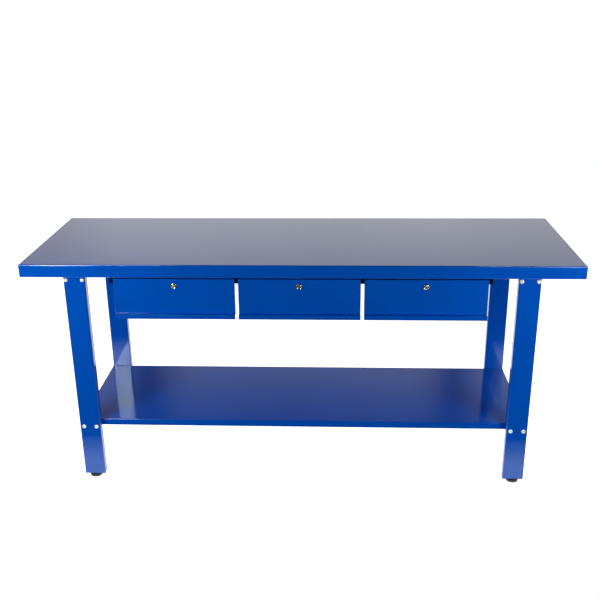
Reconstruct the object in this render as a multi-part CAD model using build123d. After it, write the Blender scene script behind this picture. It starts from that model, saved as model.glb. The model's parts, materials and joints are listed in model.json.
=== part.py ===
from build123d import *
import math
import os

# Steel workbench with three locking drawers hung under the top and a shelf between the legs.
# Millimetres. X runs along the bench, Y from front to back, Z up.
# The origin is on the floor, under the middle of the worktop.

# ---------------------------------------------------------------- driving sizes
top_length = 2000.0
top_depth = 640.0
bench_height = 895.0

# worktop: one folded sheet with an apron all round
top_sheet = 2.0
apron_height = 48.0
apron_return = 15.0
top_fold_radius = 4.0

# legs: closed rectangular tube
leg_width = 80.0
leg_depth = 30.0
leg_wall = 2.0
leg_corner_radius = 4.0
side_overhang = 142.0
front_overhang = 45.0

# levelling feet
foot_clearance = 12.0
pad_diameter = 48.0
pad_height = 9.0
pad_edge_radius = 2.0
pad_hub_diameter = 20.0
pad_hub_gap = 0.5
stud_diameter = 10.0
stud_length = 58.0
stud_socket_floor = 3.0
insert_thickness = 6.0
insert_recess = 2.0
insert_gap = 0.2
thread_clearance = 0.05

# end rails that join each pair of legs under the top
rail_bolt_gap = 10.0
rail_height = 80.0
rail_wall = 2.0
end_plate_thickness = 4.0
end_plate_drop = 10.0
end_plate_inset = 2.0

# shelf: folded sheet held between the legs
shelf_top_height = 239.0
shelf_sheet = 2.0
shelf_flange = 25.0
shelf_fold_radius = 3.0
bolt_plate_thickness = 4.0
bolt_plate_gap = 0.5
shelf_rib_inset = 125.0
shelf_rib_width = 60.0
shelf_rib_lip = 15.0
shelf_rib_end_gap = 30.0

# ribs welded under the top
rib_sheet = 2.0
rib_height = 30.0
rib_width = 50.0
rib_lip = 20.0
rib_leg_gap = 55.0
rib_end_gap = 1.0

# frame bolts, M8 with button heads
bolt_diameter = 8.0
bolt_hole = 9.0
bolt_end = 3.0
bolt_head_diameter = 16.0
bolt_head_height = 4.6
bolt_head_radius = 3.0
bolt_socket_across = 5.0
bolt_socket_depth = 2.6
nut_across = 13.0
nut_height = 8.0
upper_bolt_drop = 24.0
upper_bolt_edge = 10.0
lower_bolt_drop = 17.0
lower_bolt_edge = 16.0

# cleats that hold the ribs to the end rails, with M6 bolts
cleat_leg = 30.0
cleat_thickness = 3.0
cleat_width = 40.0
small_bolt_diameter = 6.0
small_bolt_hole = 6.6
small_bolt_head_diameter = 12.0
small_bolt_head_height = 3.5
small_bolt_length = 14.0
small_nut_across = 10.0
small_nut_height = 5.0

# drawers
drawer_count = 3
hanger_leg_gap = 93.0
front_gap = 12.0
front_height = 148.0
front_top_gap = 11.0
front_setback = 20.0
front_sheet = 1.5
front_fold_radius = 2.0
front_return = 15.0
lip_depth = 15.0
lip_height = 17.0
hem_height = 8.0
drawer_rear_gap = 33.5
drawer_sheet = 1.5
drawer_floor_gap = 2.0
drawer_lock_gap = 20.0
back_wall_drop = 15.5

# hangers and runners that carry the drawers
hanger_width = 20.0
hanger_wall = 1.5
cap_head = 2.5
cap_plug = 10.0
cap_plug_gap = 0.2
buffer_gap = 0.5
runner_sheet = 2.0
runner_height = 16.0
runner_top_drop = 5.0
runner_flange = 20.0
runner_stop_height = 7.0
runner_side_clearance = 3.0
glide_clearance = 0.3
glide_thickness = 1.7
glide_length = 20.0
glide_wall = 2.0
flange_web_gap = 2.0
front_glide_setback = 30.0
rear_glide_setback = 61.0
stop_clearance = 0.5

# cam locks
lock_drop = 26.0
lock_head_diameter = 22.0
lock_head_height = 3.5
lock_head_radius = 1.2
lock_barrel_diameter = 19.0
lock_barrel_length = 22.0
lock_nut_across = 24.0
lock_nut_height = 4.0
plug_diameter = 12.0
plug_clearance = 0.05
key_slot_length = 8.0
key_slot_width = 1.6
key_slot_depth = 9.0
cam_thickness = 2.5
cam_width = 14.0
cam_reach = 26.0
cam_gap = 1.0
cam_square = 7.0
cam_screw_diameter = 5.0
cam_screw_head_diameter = 10.0
cam_screw_head_height = 2.5
cam_screw_depth = 10.0
strike_thickness = 2.0
strike_width = 30.0
strike_foot = 25.0
strike_overlap = 10.0
strike_cam_gap = 2.5

# ---------------------------------------------------------------- derived sizes
front_y = -top_depth / 2
under_top = bench_height - top_sheet
apron_bottom = bench_height - apron_height

leg_outer_y = top_depth / 2 - front_overhang
leg_inner_y = leg_outer_y - leg_depth
leg_centre_y = leg_outer_y - leg_depth / 2
leg_centre_x = top_length / 2 - side_overhang - leg_width / 2
leg_inner_x = leg_centre_x - leg_width / 2
leg_bottom = foot_clearance
leg_top = under_top

upper_bolt_spacing = leg_width - 2 * upper_bolt_edge
lower_bolt_spacing = leg_width - 2 * lower_bolt_edge
bolt_length = leg_depth + end_plate_thickness + nut_height + bolt_end

upper_bolt_z = apron_bottom - upper_bolt_drop
lower_bolt_z = shelf_top_height - lower_bolt_drop

rib_bottom = under_top - rib_height
rib_spacing = leg_inner_y - rib_leg_gap
rail_width = upper_bolt_spacing - 2 * rail_bolt_gap
rail_bottom = under_top - rail_height
rail_inner_face = leg_centre_x - rail_width / 2
end_plate_bottom = min(rail_bottom, upper_bolt_z) - end_plate_drop

shelf_half_length = leg_centre_x + leg_width / 2
shelf_half_depth = leg_inner_y
shelf_flange_bottom = shelf_top_height - shelf_flange
shelf_rib_offset = shelf_half_depth - shelf_rib_inset

leg_sides = {"front": -1, "rear": 1}
leg_ends = {"left": -1, "right": 1}

drawer_pitch = 2 * (leg_inner_x - hanger_leg_gap - hanger_width / 2) / drawer_count
panel_y = front_y + front_setback
front_width = drawer_pitch - front_gap
front_top = apron_bottom - front_top_gap
front_bottom = front_top - front_height
ledge_top = front_bottom + lip_height
panel_back = panel_y + front_sheet

runner_web_face = drawer_pitch / 2 - hanger_width / 2
runner_edge = runner_web_face - runner_flange
drawer_half_width = runner_edge - runner_side_clearance
drawer_flange = runner_flange + runner_side_clearance - runner_sheet - glide_wall - flange_web_gap
drawer_bottom = ledge_top + drawer_floor_gap
drawer_front = panel_back
cap_front = panel_y + front_return + buffer_gap
hanger_front = cap_front + cap_head
hanger_rear = rib_spacing + rib_width / 2
drawer_rear = hanger_rear - drawer_rear_gap

lock_z = front_top - lock_drop
lock_back = panel_y + lock_barrel_length
cam_front = lock_back + cam_gap
strike_back = cam_front - strike_cam_gap
strike_bottom = lock_z + cam_reach - strike_overlap

# the runner sits low on the hanger, and the drawer flange rides inside it
runner_bottom = front_top - runner_top_drop - runner_height
hanger_bottom = runner_bottom
runner_floor = runner_bottom + runner_sheet
runner_roof = runner_bottom + runner_height - runner_sheet
flange_bottom = runner_floor + glide_clearance + glide_thickness
flange_top = flange_bottom + drawer_sheet
stop_y = hanger_front + runner_sheet
rear_glide_front = drawer_rear - rear_glide_setback - glide_length
drawer_travel = rear_glide_front - stop_y - stop_clearance

drawer_centres = [
    (index - (drawer_count - 1) / 2) * drawer_pitch for index in range(drawer_count)
]
hanger_centres = [
    (index - drawer_count / 2) * drawer_pitch for index in range(drawer_count + 1)
]
rib_places = {"front": -rib_spacing, "middle": 0.0, "rear": rib_spacing}


# ---------------------------------------------------------------- helpers
def block(x0, x1, y0, y1, z0, z1):
    size = Box(x1 - x0, y1 - y0, z1 - z0, align=(Align.MIN, Align.MIN, Align.MIN))
    return Pos(x0, y0, z0) * size


def rod(diameter, start, end):
    # round bar between two points
    run = Vector(*end) - Vector(*start)
    place = Plane(origin=start, z_dir=run)
    return place * extrude(Circle(diameter / 2), run.length)


def hex_bar(across, start, end):
    run = Vector(*end) - Vector(*start)
    place = Plane(origin=start, z_dir=run)
    corner_radius = across / 2 / math.cos(math.pi / 6)
    return place * extrude(RegularPolygon(corner_radius, 6), run.length)


def edges_at(shape, axis, **place):
    # edges along one axis whose centre lies at the given coordinates
    chosen = shape.edges().filter_by(axis)
    for name, value in place.items():
        coordinate = name.upper()
        chosen = [e for e in chosen if abs(getattr(e.center(), coordinate) - value) < 0.01]
    return chosen


def folded_tray(half_x, half_y, bottom, top, sheet, radius):
    # a flat sheet with its four sides folded down
    outer = block(-half_x, half_x, -half_y, half_y, bottom, top)
    outer = fillet(outer.edges().filter_by(Axis.Z), radius)
    outer = fillet(outer.faces().sort_by(Axis.Z)[-1].edges(), radius)
    inner = block(-half_x + sheet, half_x - sheet, -half_y + sheet, half_y - sheet, bottom, top - sheet)
    inner = fillet(inner.edges().filter_by(Axis.Z), radius - sheet)
    return outer, inner


def hat_rib(half_length, y, top, height, width, lip, sheet):
    # hat section along X: two lips against a sheet, a channel hanging below it
    bottom = top - height
    half = width / 2
    rib = block(-half_length, half_length, y - half, y + half, bottom, top)
    rib -= block(-half_length, half_length, y - half + sheet, y + half - sheet, bottom + sheet, top)
    for side in (-1, 1):
        y_near, y_far = sorted((y + side * half, y + side * (half + lip)))
        rib += block(-half_length, half_length, y_near, y_far, top - sheet, top)
    return rib


parts = {}


# ---------------------------------------------------------------- worktop
def make_worktop():
    half_x = top_length / 2
    half_y = top_depth / 2
    outer, inner = folded_tray(half_x, half_y, apron_bottom, bench_height, top_sheet, top_fold_radius)
    cavity = inner - block(-half_x, half_x, -half_y, half_y, apron_bottom, apron_bottom + top_sheet)
    reach = top_sheet + apron_return
    mouth = block(
        -half_x + reach, half_x - reach,
        -half_y + reach, half_y - reach,
        apron_bottom, apron_bottom + top_sheet,
    )
    return outer - cavity - mouth


def make_top_rib(y):
    half_length = rail_inner_face - rib_end_gap
    rib = hat_rib(half_length, y, under_top, rib_height, rib_width, rib_lip, rib_sheet)
    for end in (-1, 1):
        x = end * (rail_inner_face - cleat_leg / 2)
        rib -= rod(small_bolt_hole, (x, y, rib_bottom), (x, y, rib_bottom + rib_sheet))
    return rib


parts["worktop"] = make_worktop()
for place, y in rib_places.items():
    parts[f"top_rib_{place}"] = make_top_rib(y)


# ---------------------------------------------------------------- legs and end rails
def bolt_points(x_centre, spacing, z):
    return [(x_centre - spacing / 2, z), (x_centre + spacing / 2, z)]


def leg_bolt_points(x_centre):
    upper = bolt_points(x_centre, upper_bolt_spacing, upper_bolt_z)
    lower = bolt_points(x_centre, lower_bolt_spacing, lower_bolt_z)
    return upper, lower


def make_leg(x, y):
    half_w = leg_width / 2
    half_d = leg_depth / 2
    leg = block(x - half_w, x + half_w, y - half_d, y + half_d, leg_bottom, leg_top)
    leg = fillet(leg.edges().filter_by(Axis.Z), leg_corner_radius)
    bore = block(
        x - half_w + leg_wall, x + half_w - leg_wall,
        y - half_d + leg_wall, y + half_d - leg_wall,
        leg_bottom, leg_top,
    )
    leg -= fillet(bore.edges().filter_by(Axis.Z), leg_corner_radius - leg_wall)
    upper, lower = leg_bolt_points(x)
    for bx, bz in upper + lower:
        leg -= rod(bolt_hole, (bx, y - half_d, bz), (bx, y + half_d, bz))
    return leg


def make_end_rail(x):
    half = rail_width / 2
    inner_y = leg_inner_y - end_plate_thickness
    rail = block(x - half, x + half, -inner_y, inner_y, rail_bottom, under_top)
    rail -= block(
        x - half + rail_wall, x + half - rail_wall,
        -inner_y, inner_y,
        rail_bottom + rail_wall, under_top - rail_wall,
    )
    plate_half = leg_width / 2 - end_plate_inset
    for side in (-1, 1):
        y0, y1 = sorted((side * inner_y, side * leg_inner_y))
        rail += block(x - plate_half, x + plate_half, y0, y1, end_plate_bottom, under_top)
        upper, lower = leg_bolt_points(x)
        for bx, bz in upper:
            rail -= rod(bolt_hole, (bx, y0, bz), (bx, y1, bz))
    inward = -1 if x > 0 else 1
    face = x + inward * half
    for y in rib_places.values():
        hole_z = rib_bottom - cleat_leg / 2
        rail -= rod(small_bolt_hole, (face, y, hole_z), (face - inward * rail_wall, y, hole_z))
    return rail


def make_frame_bolt(x, z, side):
    # button head on the leg's outer face, shank through the leg and what lies behind it
    face = side * leg_outer_y
    head_top = face + side * bolt_head_height
    head = rod(bolt_head_diameter, (x, face, z), (x, head_top, z))
    rim = [e for e in head.edges() if abs(e.center().Y - head_top) < 0.01]
    head = fillet(rim, bolt_head_radius)
    socket_floor = head_top - side * bolt_socket_depth
    head -= hex_bar(bolt_socket_across, (x, socket_floor, z), (x, head_top, z))
    shank_end = face - side * bolt_length
    return head + rod(bolt_diameter, (x, face, z), (x, shank_end, z))


def make_frame_nut(x, z, side, seat):
    # nut behind the plate, its bore the size of the shank
    start = side * seat
    end = side * (seat - nut_height)
    nut = hex_bar(nut_across, (x, start, z), (x, end, z))
    return nut - rod(bolt_diameter, (x, start, z), (x, end, z))


frame_bolts = []
frame_nuts = []
upper_seat = leg_inner_y - end_plate_thickness
lower_seat = leg_inner_y - shelf_sheet - bolt_plate_thickness
for end_name, end in leg_ends.items():
    x = end * leg_centre_x
    for side_name, side in leg_sides.items():
        parts[f"leg_{side_name}_{end_name}"] = make_leg(x, side * leg_centre_y)
        upper, lower = leg_bolt_points(x)
        for bx, bz in upper:
            frame_bolts.append(make_frame_bolt(bx, bz, side))
            frame_nuts.append(make_frame_nut(bx, bz, side, upper_seat))
        for bx, bz in lower:
            frame_bolts.append(make_frame_bolt(bx, bz, side))
            frame_nuts.append(make_frame_nut(bx, bz, side, lower_seat))
    parts[f"end_rail_{end_name}"] = make_end_rail(x)
parts["frame_bolts"] = Compound(frame_bolts)
parts["frame_nuts"] = Compound(frame_nuts)


# ---------------------------------------------------------------- cleats between ribs and end rails
def make_cleat(end, y):
    face = end * rail_inner_face
    tip = face - end * cleat_leg
    x0, x1 = sorted((face, tip))
    w0, w1 = sorted((face, face - end * cleat_thickness))
    half = cleat_width / 2
    cleat = block(x0, x1, y - half, y + half, rib_bottom - cleat_thickness, rib_bottom)
    cleat += block(w0, w1, y - half, y + half, rib_bottom - cleat_leg, rib_bottom)
    x_mid = face - end * cleat_leg / 2
    z_mid = rib_bottom - cleat_leg / 2
    cleat -= rod(small_bolt_hole, (x_mid, y, rib_bottom - cleat_thickness), (x_mid, y, rib_bottom))
    cleat -= rod(small_bolt_hole, (w0, y, z_mid), (w1, y, z_mid))
    return cleat


def small_bolt(start, toward):
    # head against start, shank running on in the direction toward
    seat = Vector(*start)
    way = Vector(*toward)
    head_end = seat - way * small_bolt_head_height
    shank_end = seat + way * small_bolt_length
    head = rod(small_bolt_head_diameter, tuple(seat), tuple(head_end))
    return head + rod(small_bolt_diameter, tuple(seat), tuple(shank_end))


def small_nut(start, toward):
    seat = Vector(*start)
    end = seat + Vector(*toward) * small_nut_height
    nut = hex_bar(small_nut_across, tuple(seat), tuple(end))
    return nut - rod(small_bolt_diameter, tuple(seat), tuple(end))


cleats = []
cleat_fasteners = []
for end in leg_ends.values():
    face = end * rail_inner_face
    x_mid = face - end * cleat_leg / 2
    z_mid = rib_bottom - cleat_leg / 2
    for y in rib_places.values():
        cleats.append(make_cleat(end, y))
        under = (x_mid, y, rib_bottom - cleat_thickness)
        beside = (face - end * cleat_thickness, y, z_mid)
        cleat_fasteners.append(small_bolt(under, (0, 0, 1)))
        cleat_fasteners.append(small_bolt(beside, (end, 0, 0)))
        cleat_fasteners.append(small_nut((x_mid, y, rib_bottom + rib_sheet), (0, 0, 1)))
        cleat_fasteners.append(small_nut((face + end * rail_wall, y, z_mid), (end, 0, 0)))
parts["rib_cleats"] = Compound(cleats)
parts["cleat_fasteners"] = Compound(cleat_fasteners)


# ---------------------------------------------------------------- shelf
def lower_bolt_holes(depth_from, depth_to):
    holes = []
    for end in leg_ends.values():
        for bx, bz in bolt_points(end * leg_centre_x, lower_bolt_spacing, lower_bolt_z):
            for side in (-1, 1):
                holes.append(rod(bolt_hole, (bx, side * depth_from, bz), (bx, side * depth_to, bz)))
    return holes


def make_shelf():
    outer, inner = folded_tray(
        shelf_half_length, shelf_half_depth,
        shelf_flange_bottom, shelf_top_height,
        shelf_sheet, shelf_fold_radius,
    )
    return outer - inner - lower_bolt_holes(shelf_half_depth - shelf_sheet, shelf_half_depth)


def make_bolt_plates():
    plates = []
    outer_y = shelf_half_depth - shelf_sheet
    inner_y = outer_y - bolt_plate_thickness
    low = shelf_flange_bottom + bolt_plate_gap
    high = shelf_top_height - shelf_sheet - bolt_plate_gap
    holes = lower_bolt_holes(inner_y, outer_y)
    half = leg_width / 2 - shelf_fold_radius
    for end in leg_ends.values():
        x = end * leg_centre_x
        for side in (-1, 1):
            y0, y1 = sorted((side * inner_y, side * outer_y))
            plates.append(block(x - half, x + half, y0, y1, low, high) - holes)
    return Compound(plates)


def make_shelf_rib(y):
    half_length = shelf_half_length - shelf_rib_end_gap
    top = shelf_top_height - shelf_sheet
    height = shelf_flange - shelf_sheet - bolt_plate_gap
    return hat_rib(half_length, y, top, height, shelf_rib_width, shelf_rib_lip, shelf_sheet)


parts["shelf"] = make_shelf()
parts["shelf_bolt_plates"] = make_bolt_plates()
parts["shelf_rib_front"] = make_shelf_rib(-shelf_rib_offset)
parts["shelf_rib_rear"] = make_shelf_rib(shelf_rib_offset)


# ---------------------------------------------------------------- levelling feet
def make_foot_insert(x, y):
    half_w = leg_width / 2 - leg_wall - insert_gap
    half_d = leg_depth / 2 - leg_wall - insert_gap
    low = leg_bottom + insert_recess
    plate = block(x - half_w, x + half_w, y - half_d, y + half_d, low, low + insert_thickness)
    plate = fillet(plate.edges().filter_by(Axis.Z), leg_corner_radius - leg_wall)
    hole = stud_diameter + 2 * thread_clearance
    return plate - rod(hole, (x, y, low), (x, y, low + insert_thickness))


def make_foot_pad(x, y):
    disc = rod(pad_diameter, (x, y, 0), (x, y, pad_height))
    disc = fillet(disc.edges(), pad_edge_radius)
    pad = disc + rod(pad_hub_diameter, (x, y, pad_height), (x, y, foot_clearance - pad_hub_gap))
    socket = stud_diameter + 2 * thread_clearance
    return pad - rod(socket, (x, y, stud_socket_floor), (x, y, foot_clearance))


def make_foot_stud(x, y):
    return rod(stud_diameter, (x, y, stud_socket_floor), (x, y, stud_socket_floor + stud_length))


foot_inserts = []
for end_name, end in leg_ends.items():
    for side_name, side in leg_sides.items():
        x = end * leg_centre_x
        y = side * leg_centre_y
        foot_inserts.append(make_foot_insert(x, y))
        parts[f"foot_pad_{side_name}_{end_name}"] = make_foot_pad(x, y)
        parts[f"foot_stud_{side_name}_{end_name}"] = make_foot_stud(x, y)
parts["foot_inserts"] = Compound(foot_inserts)


# ---------------------------------------------------------------- hangers and runners
def make_hanger(x):
    half = hanger_width / 2
    tube = block(x - half, x + half, hanger_front, hanger_rear, hanger_bottom, rib_bottom)
    return tube - block(
        x - half + hanger_wall, x + half - hanger_wall,
        hanger_front, hanger_rear,
        hanger_bottom + hanger_wall, rib_bottom - hanger_wall,
    )


def make_hanger_cap(x, y, way):
    # a head over the tube's end and a plug inside it; way points along Y into the tube
    half = hanger_width / 2
    plug = hanger_width / 2 - hanger_wall - cap_plug_gap
    inset = hanger_wall + cap_plug_gap
    y0, y1 = sorted((y, y - way * cap_head))
    p0, p1 = sorted((y, y + way * cap_plug))
    cap = block(x - half, x + half, y0, y1, hanger_bottom, rib_bottom)
    return cap + block(x - plug, x + plug, p0, p1, hanger_bottom + inset, rib_bottom - inset)


def make_runner(x, side):
    # channel on one side of a drawer, open towards it, with a stop tab across its front end
    face = x + side * runner_web_face
    edge = x + side * runner_edge
    web = face - side * runner_sheet
    top = runner_bottom + runner_height
    x0, x1 = sorted((face, edge))
    i0, i1 = sorted((web, edge))
    w0, w1 = sorted((face, face - side * runner_flange / 2))
    runner = block(x0, x1, hanger_front, hanger_rear, runner_bottom, top)
    runner -= block(i0, i1, hanger_front, hanger_rear, runner_floor, runner_roof)
    tab_low = runner_roof - runner_stop_height
    return runner + block(w0, w1, hanger_front, stop_y, tab_low, runner_roof)


hanger_names = ["left_end", "left", "right", "right_end"]
caps = []
for name, x in zip(hanger_names, hanger_centres):
    parts[f"drawer_hanger_{name}"] = make_hanger(x)
    caps.append(make_hanger_cap(x, hanger_front, 1))
    caps.append(make_hanger_cap(x, hanger_rear, -1))
parts["hanger_caps"] = Compound(caps)
for number, x in enumerate(drawer_centres, start=1):
    parts[f"drawer_{number}_runners"] = Compound([make_runner(x, -1), make_runner(x, 1)])


# ---------------------------------------------------------------- drawer boxes and fronts
def make_drawer_box(x):
    half = drawer_half_width
    sheet = drawer_sheet
    box = block(x - half, x + half, drawer_front, drawer_rear, drawer_bottom, flange_top)
    floor = drawer_bottom + sheet
    box -= block(
        x - half + sheet, x + half - sheet,
        drawer_front + sheet, drawer_rear - sheet,
        floor, flange_top,
    )
    front_wall_top = lock_z - drawer_lock_gap
    back_wall_top = flange_top - back_wall_drop
    inside = half - sheet
    box -= block(x - inside, x + inside, drawer_front, drawer_front + sheet, front_wall_top, flange_top)
    box -= block(x - inside, x + inside, drawer_rear - sheet, drawer_rear, back_wall_top, flange_top)
    for side in (-1, 1):
        f0, f1 = sorted((x + side * half, x + side * (half + drawer_flange)))
        box += block(f0, f1, hanger_front, drawer_rear, flange_bottom, flange_top)
    return box


def make_drawer_front(x):
    half = front_width / 2
    sheet = front_sheet
    lip_y = panel_y - lip_depth
    side_in = half - sheet
    panel = block(x - half, x + half, panel_y, panel_y + front_return, ledge_top - sheet, front_top)
    panel = fillet(edges_at(panel, Axis.X, y=panel_y, z=front_top), front_fold_radius)
    panel = fillet(edges_at(panel, Axis.Z, y=panel_y), front_fold_radius)
    hollow = block(
        x - side_in, x + side_in,
        panel_back, panel_y + front_return,
        ledge_top - sheet, front_top - sheet,
    )
    panel -= hollow
    lip = block(x - half, x + half, lip_y, panel_back, front_bottom, ledge_top)
    lip = fillet(edges_at(lip, Axis.X, y=lip_y, z=ledge_top), front_fold_radius)
    lip -= block(x - half, x + half, lip_y + sheet, panel_back, front_bottom, ledge_top - sheet)
    hem = block(x - half, x + half, lip_y + sheet, lip_y + 2 * sheet, front_bottom, front_bottom + hem_height)
    front = panel + lip + hem
    return front - rod(lock_barrel_diameter, (x, panel_y, lock_z), (x, panel_back, lock_z))


def make_glides(x):
    # low pads near the front, tall clips near the back that meet the runner's stop tab
    glides = []
    pad_low = flange_bottom - glide_thickness
    pad_y = hanger_front + front_glide_setback
    for side in (-1, 1):
        root = x + side * (drawer_half_width + runner_side_clearance)
        tip = x + side * (drawer_half_width + drawer_flange)
        g0, g1 = sorted((root, tip))
        glides.append(block(g0, g1, pad_y, pad_y + glide_length, pad_low, flange_bottom))
        c0, c1 = sorted((root, tip + side * glide_wall))
        rear_end = rear_glide_front + glide_length
        clip = block(c0, c1, rear_glide_front, rear_end, pad_low, runner_roof - glide_clearance)
        slot = block(g0, g1, rear_glide_front, rear_end, flange_bottom, flange_top)
        glides.append(clip - slot)
    return Compound(glides)


# ---------------------------------------------------------------- locks
def make_lock_barrel(x):
    head_front = panel_y - lock_head_height
    head = rod(lock_head_diameter, (x, head_front, lock_z), (x, panel_y, lock_z))
    rim = [e for e in head.edges() if abs(e.center().Y - head_front) < 0.01]
    head = fillet(rim, lock_head_radius)
    barrel = head + rod(lock_barrel_diameter, (x, panel_y, lock_z), (x, lock_back, lock_z))
    bore = plug_diameter + 2 * plug_clearance
    return barrel - rod(bore, (x, head_front, lock_z), (x, lock_back, lock_z))


def make_lock_nut(x):
    nut = hex_bar(lock_nut_across, (x, panel_back, lock_z), (x, panel_back + lock_nut_height, lock_z))
    return nut - rod(lock_barrel_diameter, (x, panel_back, lock_z), (x, lock_back, lock_z))


def make_lock_plug(x):
    # the turning core, with the key slot upright and a square end that drives the cam
    head_front = panel_y - lock_head_height
    half_square = cam_square / 2
    cam_back = cam_front + cam_thickness
    plug = rod(plug_diameter, (x, head_front, lock_z), (x, cam_front, lock_z))
    plug += block(
        x - half_square, x + half_square,
        cam_front, cam_back,
        lock_z - half_square, lock_z + half_square,
    )
    plug -= block(
        x - key_slot_width / 2, x + key_slot_width / 2,
        head_front, head_front + key_slot_depth,
        lock_z - key_slot_length / 2, lock_z + key_slot_length / 2,
    )
    return plug - rod(cam_screw_diameter, (x, cam_back - cam_screw_depth, lock_z), (x, cam_back, lock_z))


def make_lock_cam(x):
    # lies across the drawer when open, and turns up behind the strike when locked
    half = cam_width / 2
    back = cam_front + cam_thickness
    arm = block(x, x + cam_reach, cam_front, back, lock_z - half, lock_z + half)
    tip = edges_at(arm, Axis.Y, x=x + cam_reach)
    arm = fillet(tip, half / 2)
    cam = arm + rod(cam_width, (x, cam_front, lock_z), (x, back, lock_z))
    square = cam_square / 2
    return cam - block(x - square, x + square, cam_front, back, lock_z - square, lock_z + square)


def make_cam_screw(x):
    cam_back = cam_front + cam_thickness
    head_end = cam_back + cam_screw_head_height
    head = rod(cam_screw_head_diameter, (x, cam_back, lock_z), (x, head_end, lock_z))
    return head + rod(cam_screw_diameter, (x, cam_back - cam_screw_depth, lock_z), (x, cam_back, lock_z))


def make_strike(x):
    half = strike_width / 2
    front = strike_back - strike_thickness
    strike = block(x - half, x + half, front, strike_back, strike_bottom, under_top)
    return strike + block(x - half, x + half, front, front + strike_foot, under_top - strike_thickness, under_top)


for number, x in enumerate(drawer_centres, start=1):
    parts[f"drawer_{number}_box"] = make_drawer_box(x)
    parts[f"drawer_{number}_front"] = make_drawer_front(x)
    parts[f"drawer_{number}_glides"] = make_glides(x)
    parts[f"lock_{number}_barrel"] = make_lock_barrel(x)
    parts[f"lock_{number}_nut"] = make_lock_nut(x)
    parts[f"lock_{number}_plug"] = make_lock_plug(x)
    parts[f"lock_{number}_cam"] = make_lock_cam(x)
    parts[f"lock_{number}_screw"] = make_cam_screw(x)
parts["lock_strikes"] = Compound([make_strike(x) for x in drawer_centres])

# ---------------------------------------------------------------- write one file per node
os.makedirs("parts", exist_ok=True)
for name, shape in parts.items():
    export_step(shape, f"parts/{name}.step")
print(len(parts), "nodes written, drawer travel", drawer_travel, "mm")
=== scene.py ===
import json
import math

import bmesh
import bpy
from mathutils import Matrix, Vector


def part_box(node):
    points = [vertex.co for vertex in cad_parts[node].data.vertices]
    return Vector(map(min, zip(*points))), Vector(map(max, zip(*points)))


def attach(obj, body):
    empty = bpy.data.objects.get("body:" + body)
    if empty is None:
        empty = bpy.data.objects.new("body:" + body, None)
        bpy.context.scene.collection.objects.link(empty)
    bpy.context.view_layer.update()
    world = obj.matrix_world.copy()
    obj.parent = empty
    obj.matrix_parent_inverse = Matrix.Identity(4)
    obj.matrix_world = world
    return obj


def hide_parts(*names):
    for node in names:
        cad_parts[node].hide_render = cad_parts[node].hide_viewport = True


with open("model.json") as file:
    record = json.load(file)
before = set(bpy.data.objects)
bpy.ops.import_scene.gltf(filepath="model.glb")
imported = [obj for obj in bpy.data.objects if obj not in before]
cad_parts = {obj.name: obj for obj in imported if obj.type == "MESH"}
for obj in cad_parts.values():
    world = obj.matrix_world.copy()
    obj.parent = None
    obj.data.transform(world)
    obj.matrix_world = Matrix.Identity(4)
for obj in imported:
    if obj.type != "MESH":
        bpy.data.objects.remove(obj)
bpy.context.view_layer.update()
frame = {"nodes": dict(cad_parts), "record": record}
record = frame["record"]
nodes = frame["nodes"]
bodyOf = {node: body for body, members in record["behaviour"]["bodies"].items() for node in members}
slotOf = {part["node"]: part["material_slot"] for part in record["subparts"]}
mm = 0.001
along = {"x": Vector((1, 0, 0)), "y": Vector((0, 1, 0)), "z": Vector((0, 0, 1))}
ends = {"left": -1, "right": 1}
sides = {"front": -1, "rear": 1}


def clearSelection():
    if bpy.context.object and bpy.context.object.mode != "OBJECT":
        bpy.ops.object.mode_set(mode="OBJECT")
    bpy.ops.object.select_all(action="DESELECT")


def choose(*pieces):
    clearSelection()
    for piece in pieces:
        piece.select_set(True)
    bpy.context.view_layer.objects.active = pieces[0]


def settle(name):
    piece = bpy.context.active_object
    piece.name = piece.data.name = name
    bpy.ops.object.transform_apply(location=True, rotation=True, scale=True)
    return piece


def startBlock(name, low, high):
    clearSelection()
    low, high = Vector(low), Vector(high)
    bpy.ops.mesh.primitive_cube_add(size=1, location=(low + high) / 2, scale=high - low)
    return settle(name)


def startDisc(name, radius, centre, axis, count=32):
    clearSelection()
    turn = Vector(axis).to_track_quat("Z", "Y").to_euler()
    bpy.ops.mesh.primitive_circle_add(
        vertices=count, radius=radius, fill_type="NGON", location=centre, rotation=turn)
    return settle(name)


def startLine(name, start, end):
    # a plane with one side left, which lies from start to end on a level line
    clearSelection()
    start, end = Vector(start), Vector(end)
    run = end - start
    across = Vector((-run.y, run.x, 0)).normalized()
    bpy.ops.mesh.primitive_plane_add(
        size=run.length, location=(start + end) / 2 + across * run.length / 2,
        rotation=(0, 0, math.atan2(run.y, run.x)))
    piece = settle(name)
    openMesh(piece)
    pick("VERT", lambda v: (v.co - start).dot(across) > run.length / 2)
    bpy.ops.mesh.delete(type="VERT")
    return piece


def openMesh(piece):
    choose(piece)
    bpy.ops.object.mode_set(mode="EDIT")


def closeMesh():
    bpy.ops.object.mode_set(mode="OBJECT")


def middle(item):
    if isinstance(item, bmesh.types.BMVert):
        return item.co
    return sum((v.co for v in item.verts), Vector()) / len(item.verts)


def near(value, goal, slack=0.05 * mm):
    return abs(value - goal) < slack


def runsAlong(edge, axis):
    way = (edge.verts[1].co - edge.verts[0].co).normalized()
    return abs(way.dot(along[axis])) > 0.999


def pick(kind, test):
    bpy.ops.mesh.select_mode(type=kind)
    bpy.ops.mesh.select_all(action="DESELECT")
    data = bpy.context.edit_object.data
    mesh = bmesh.from_edit_mesh(data)
    for item in {"VERT": mesh.verts, "EDGE": mesh.edges, "FACE": mesh.faces}[kind]:
        if test(item):
            item.select_set(True)
    bmesh.update_edit_mesh(data)


def roundPicked(radius, segments=4):
    bpy.ops.mesh.bevel(offset=radius, segments=segments, profile=0.5, affect="EDGES")


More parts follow.
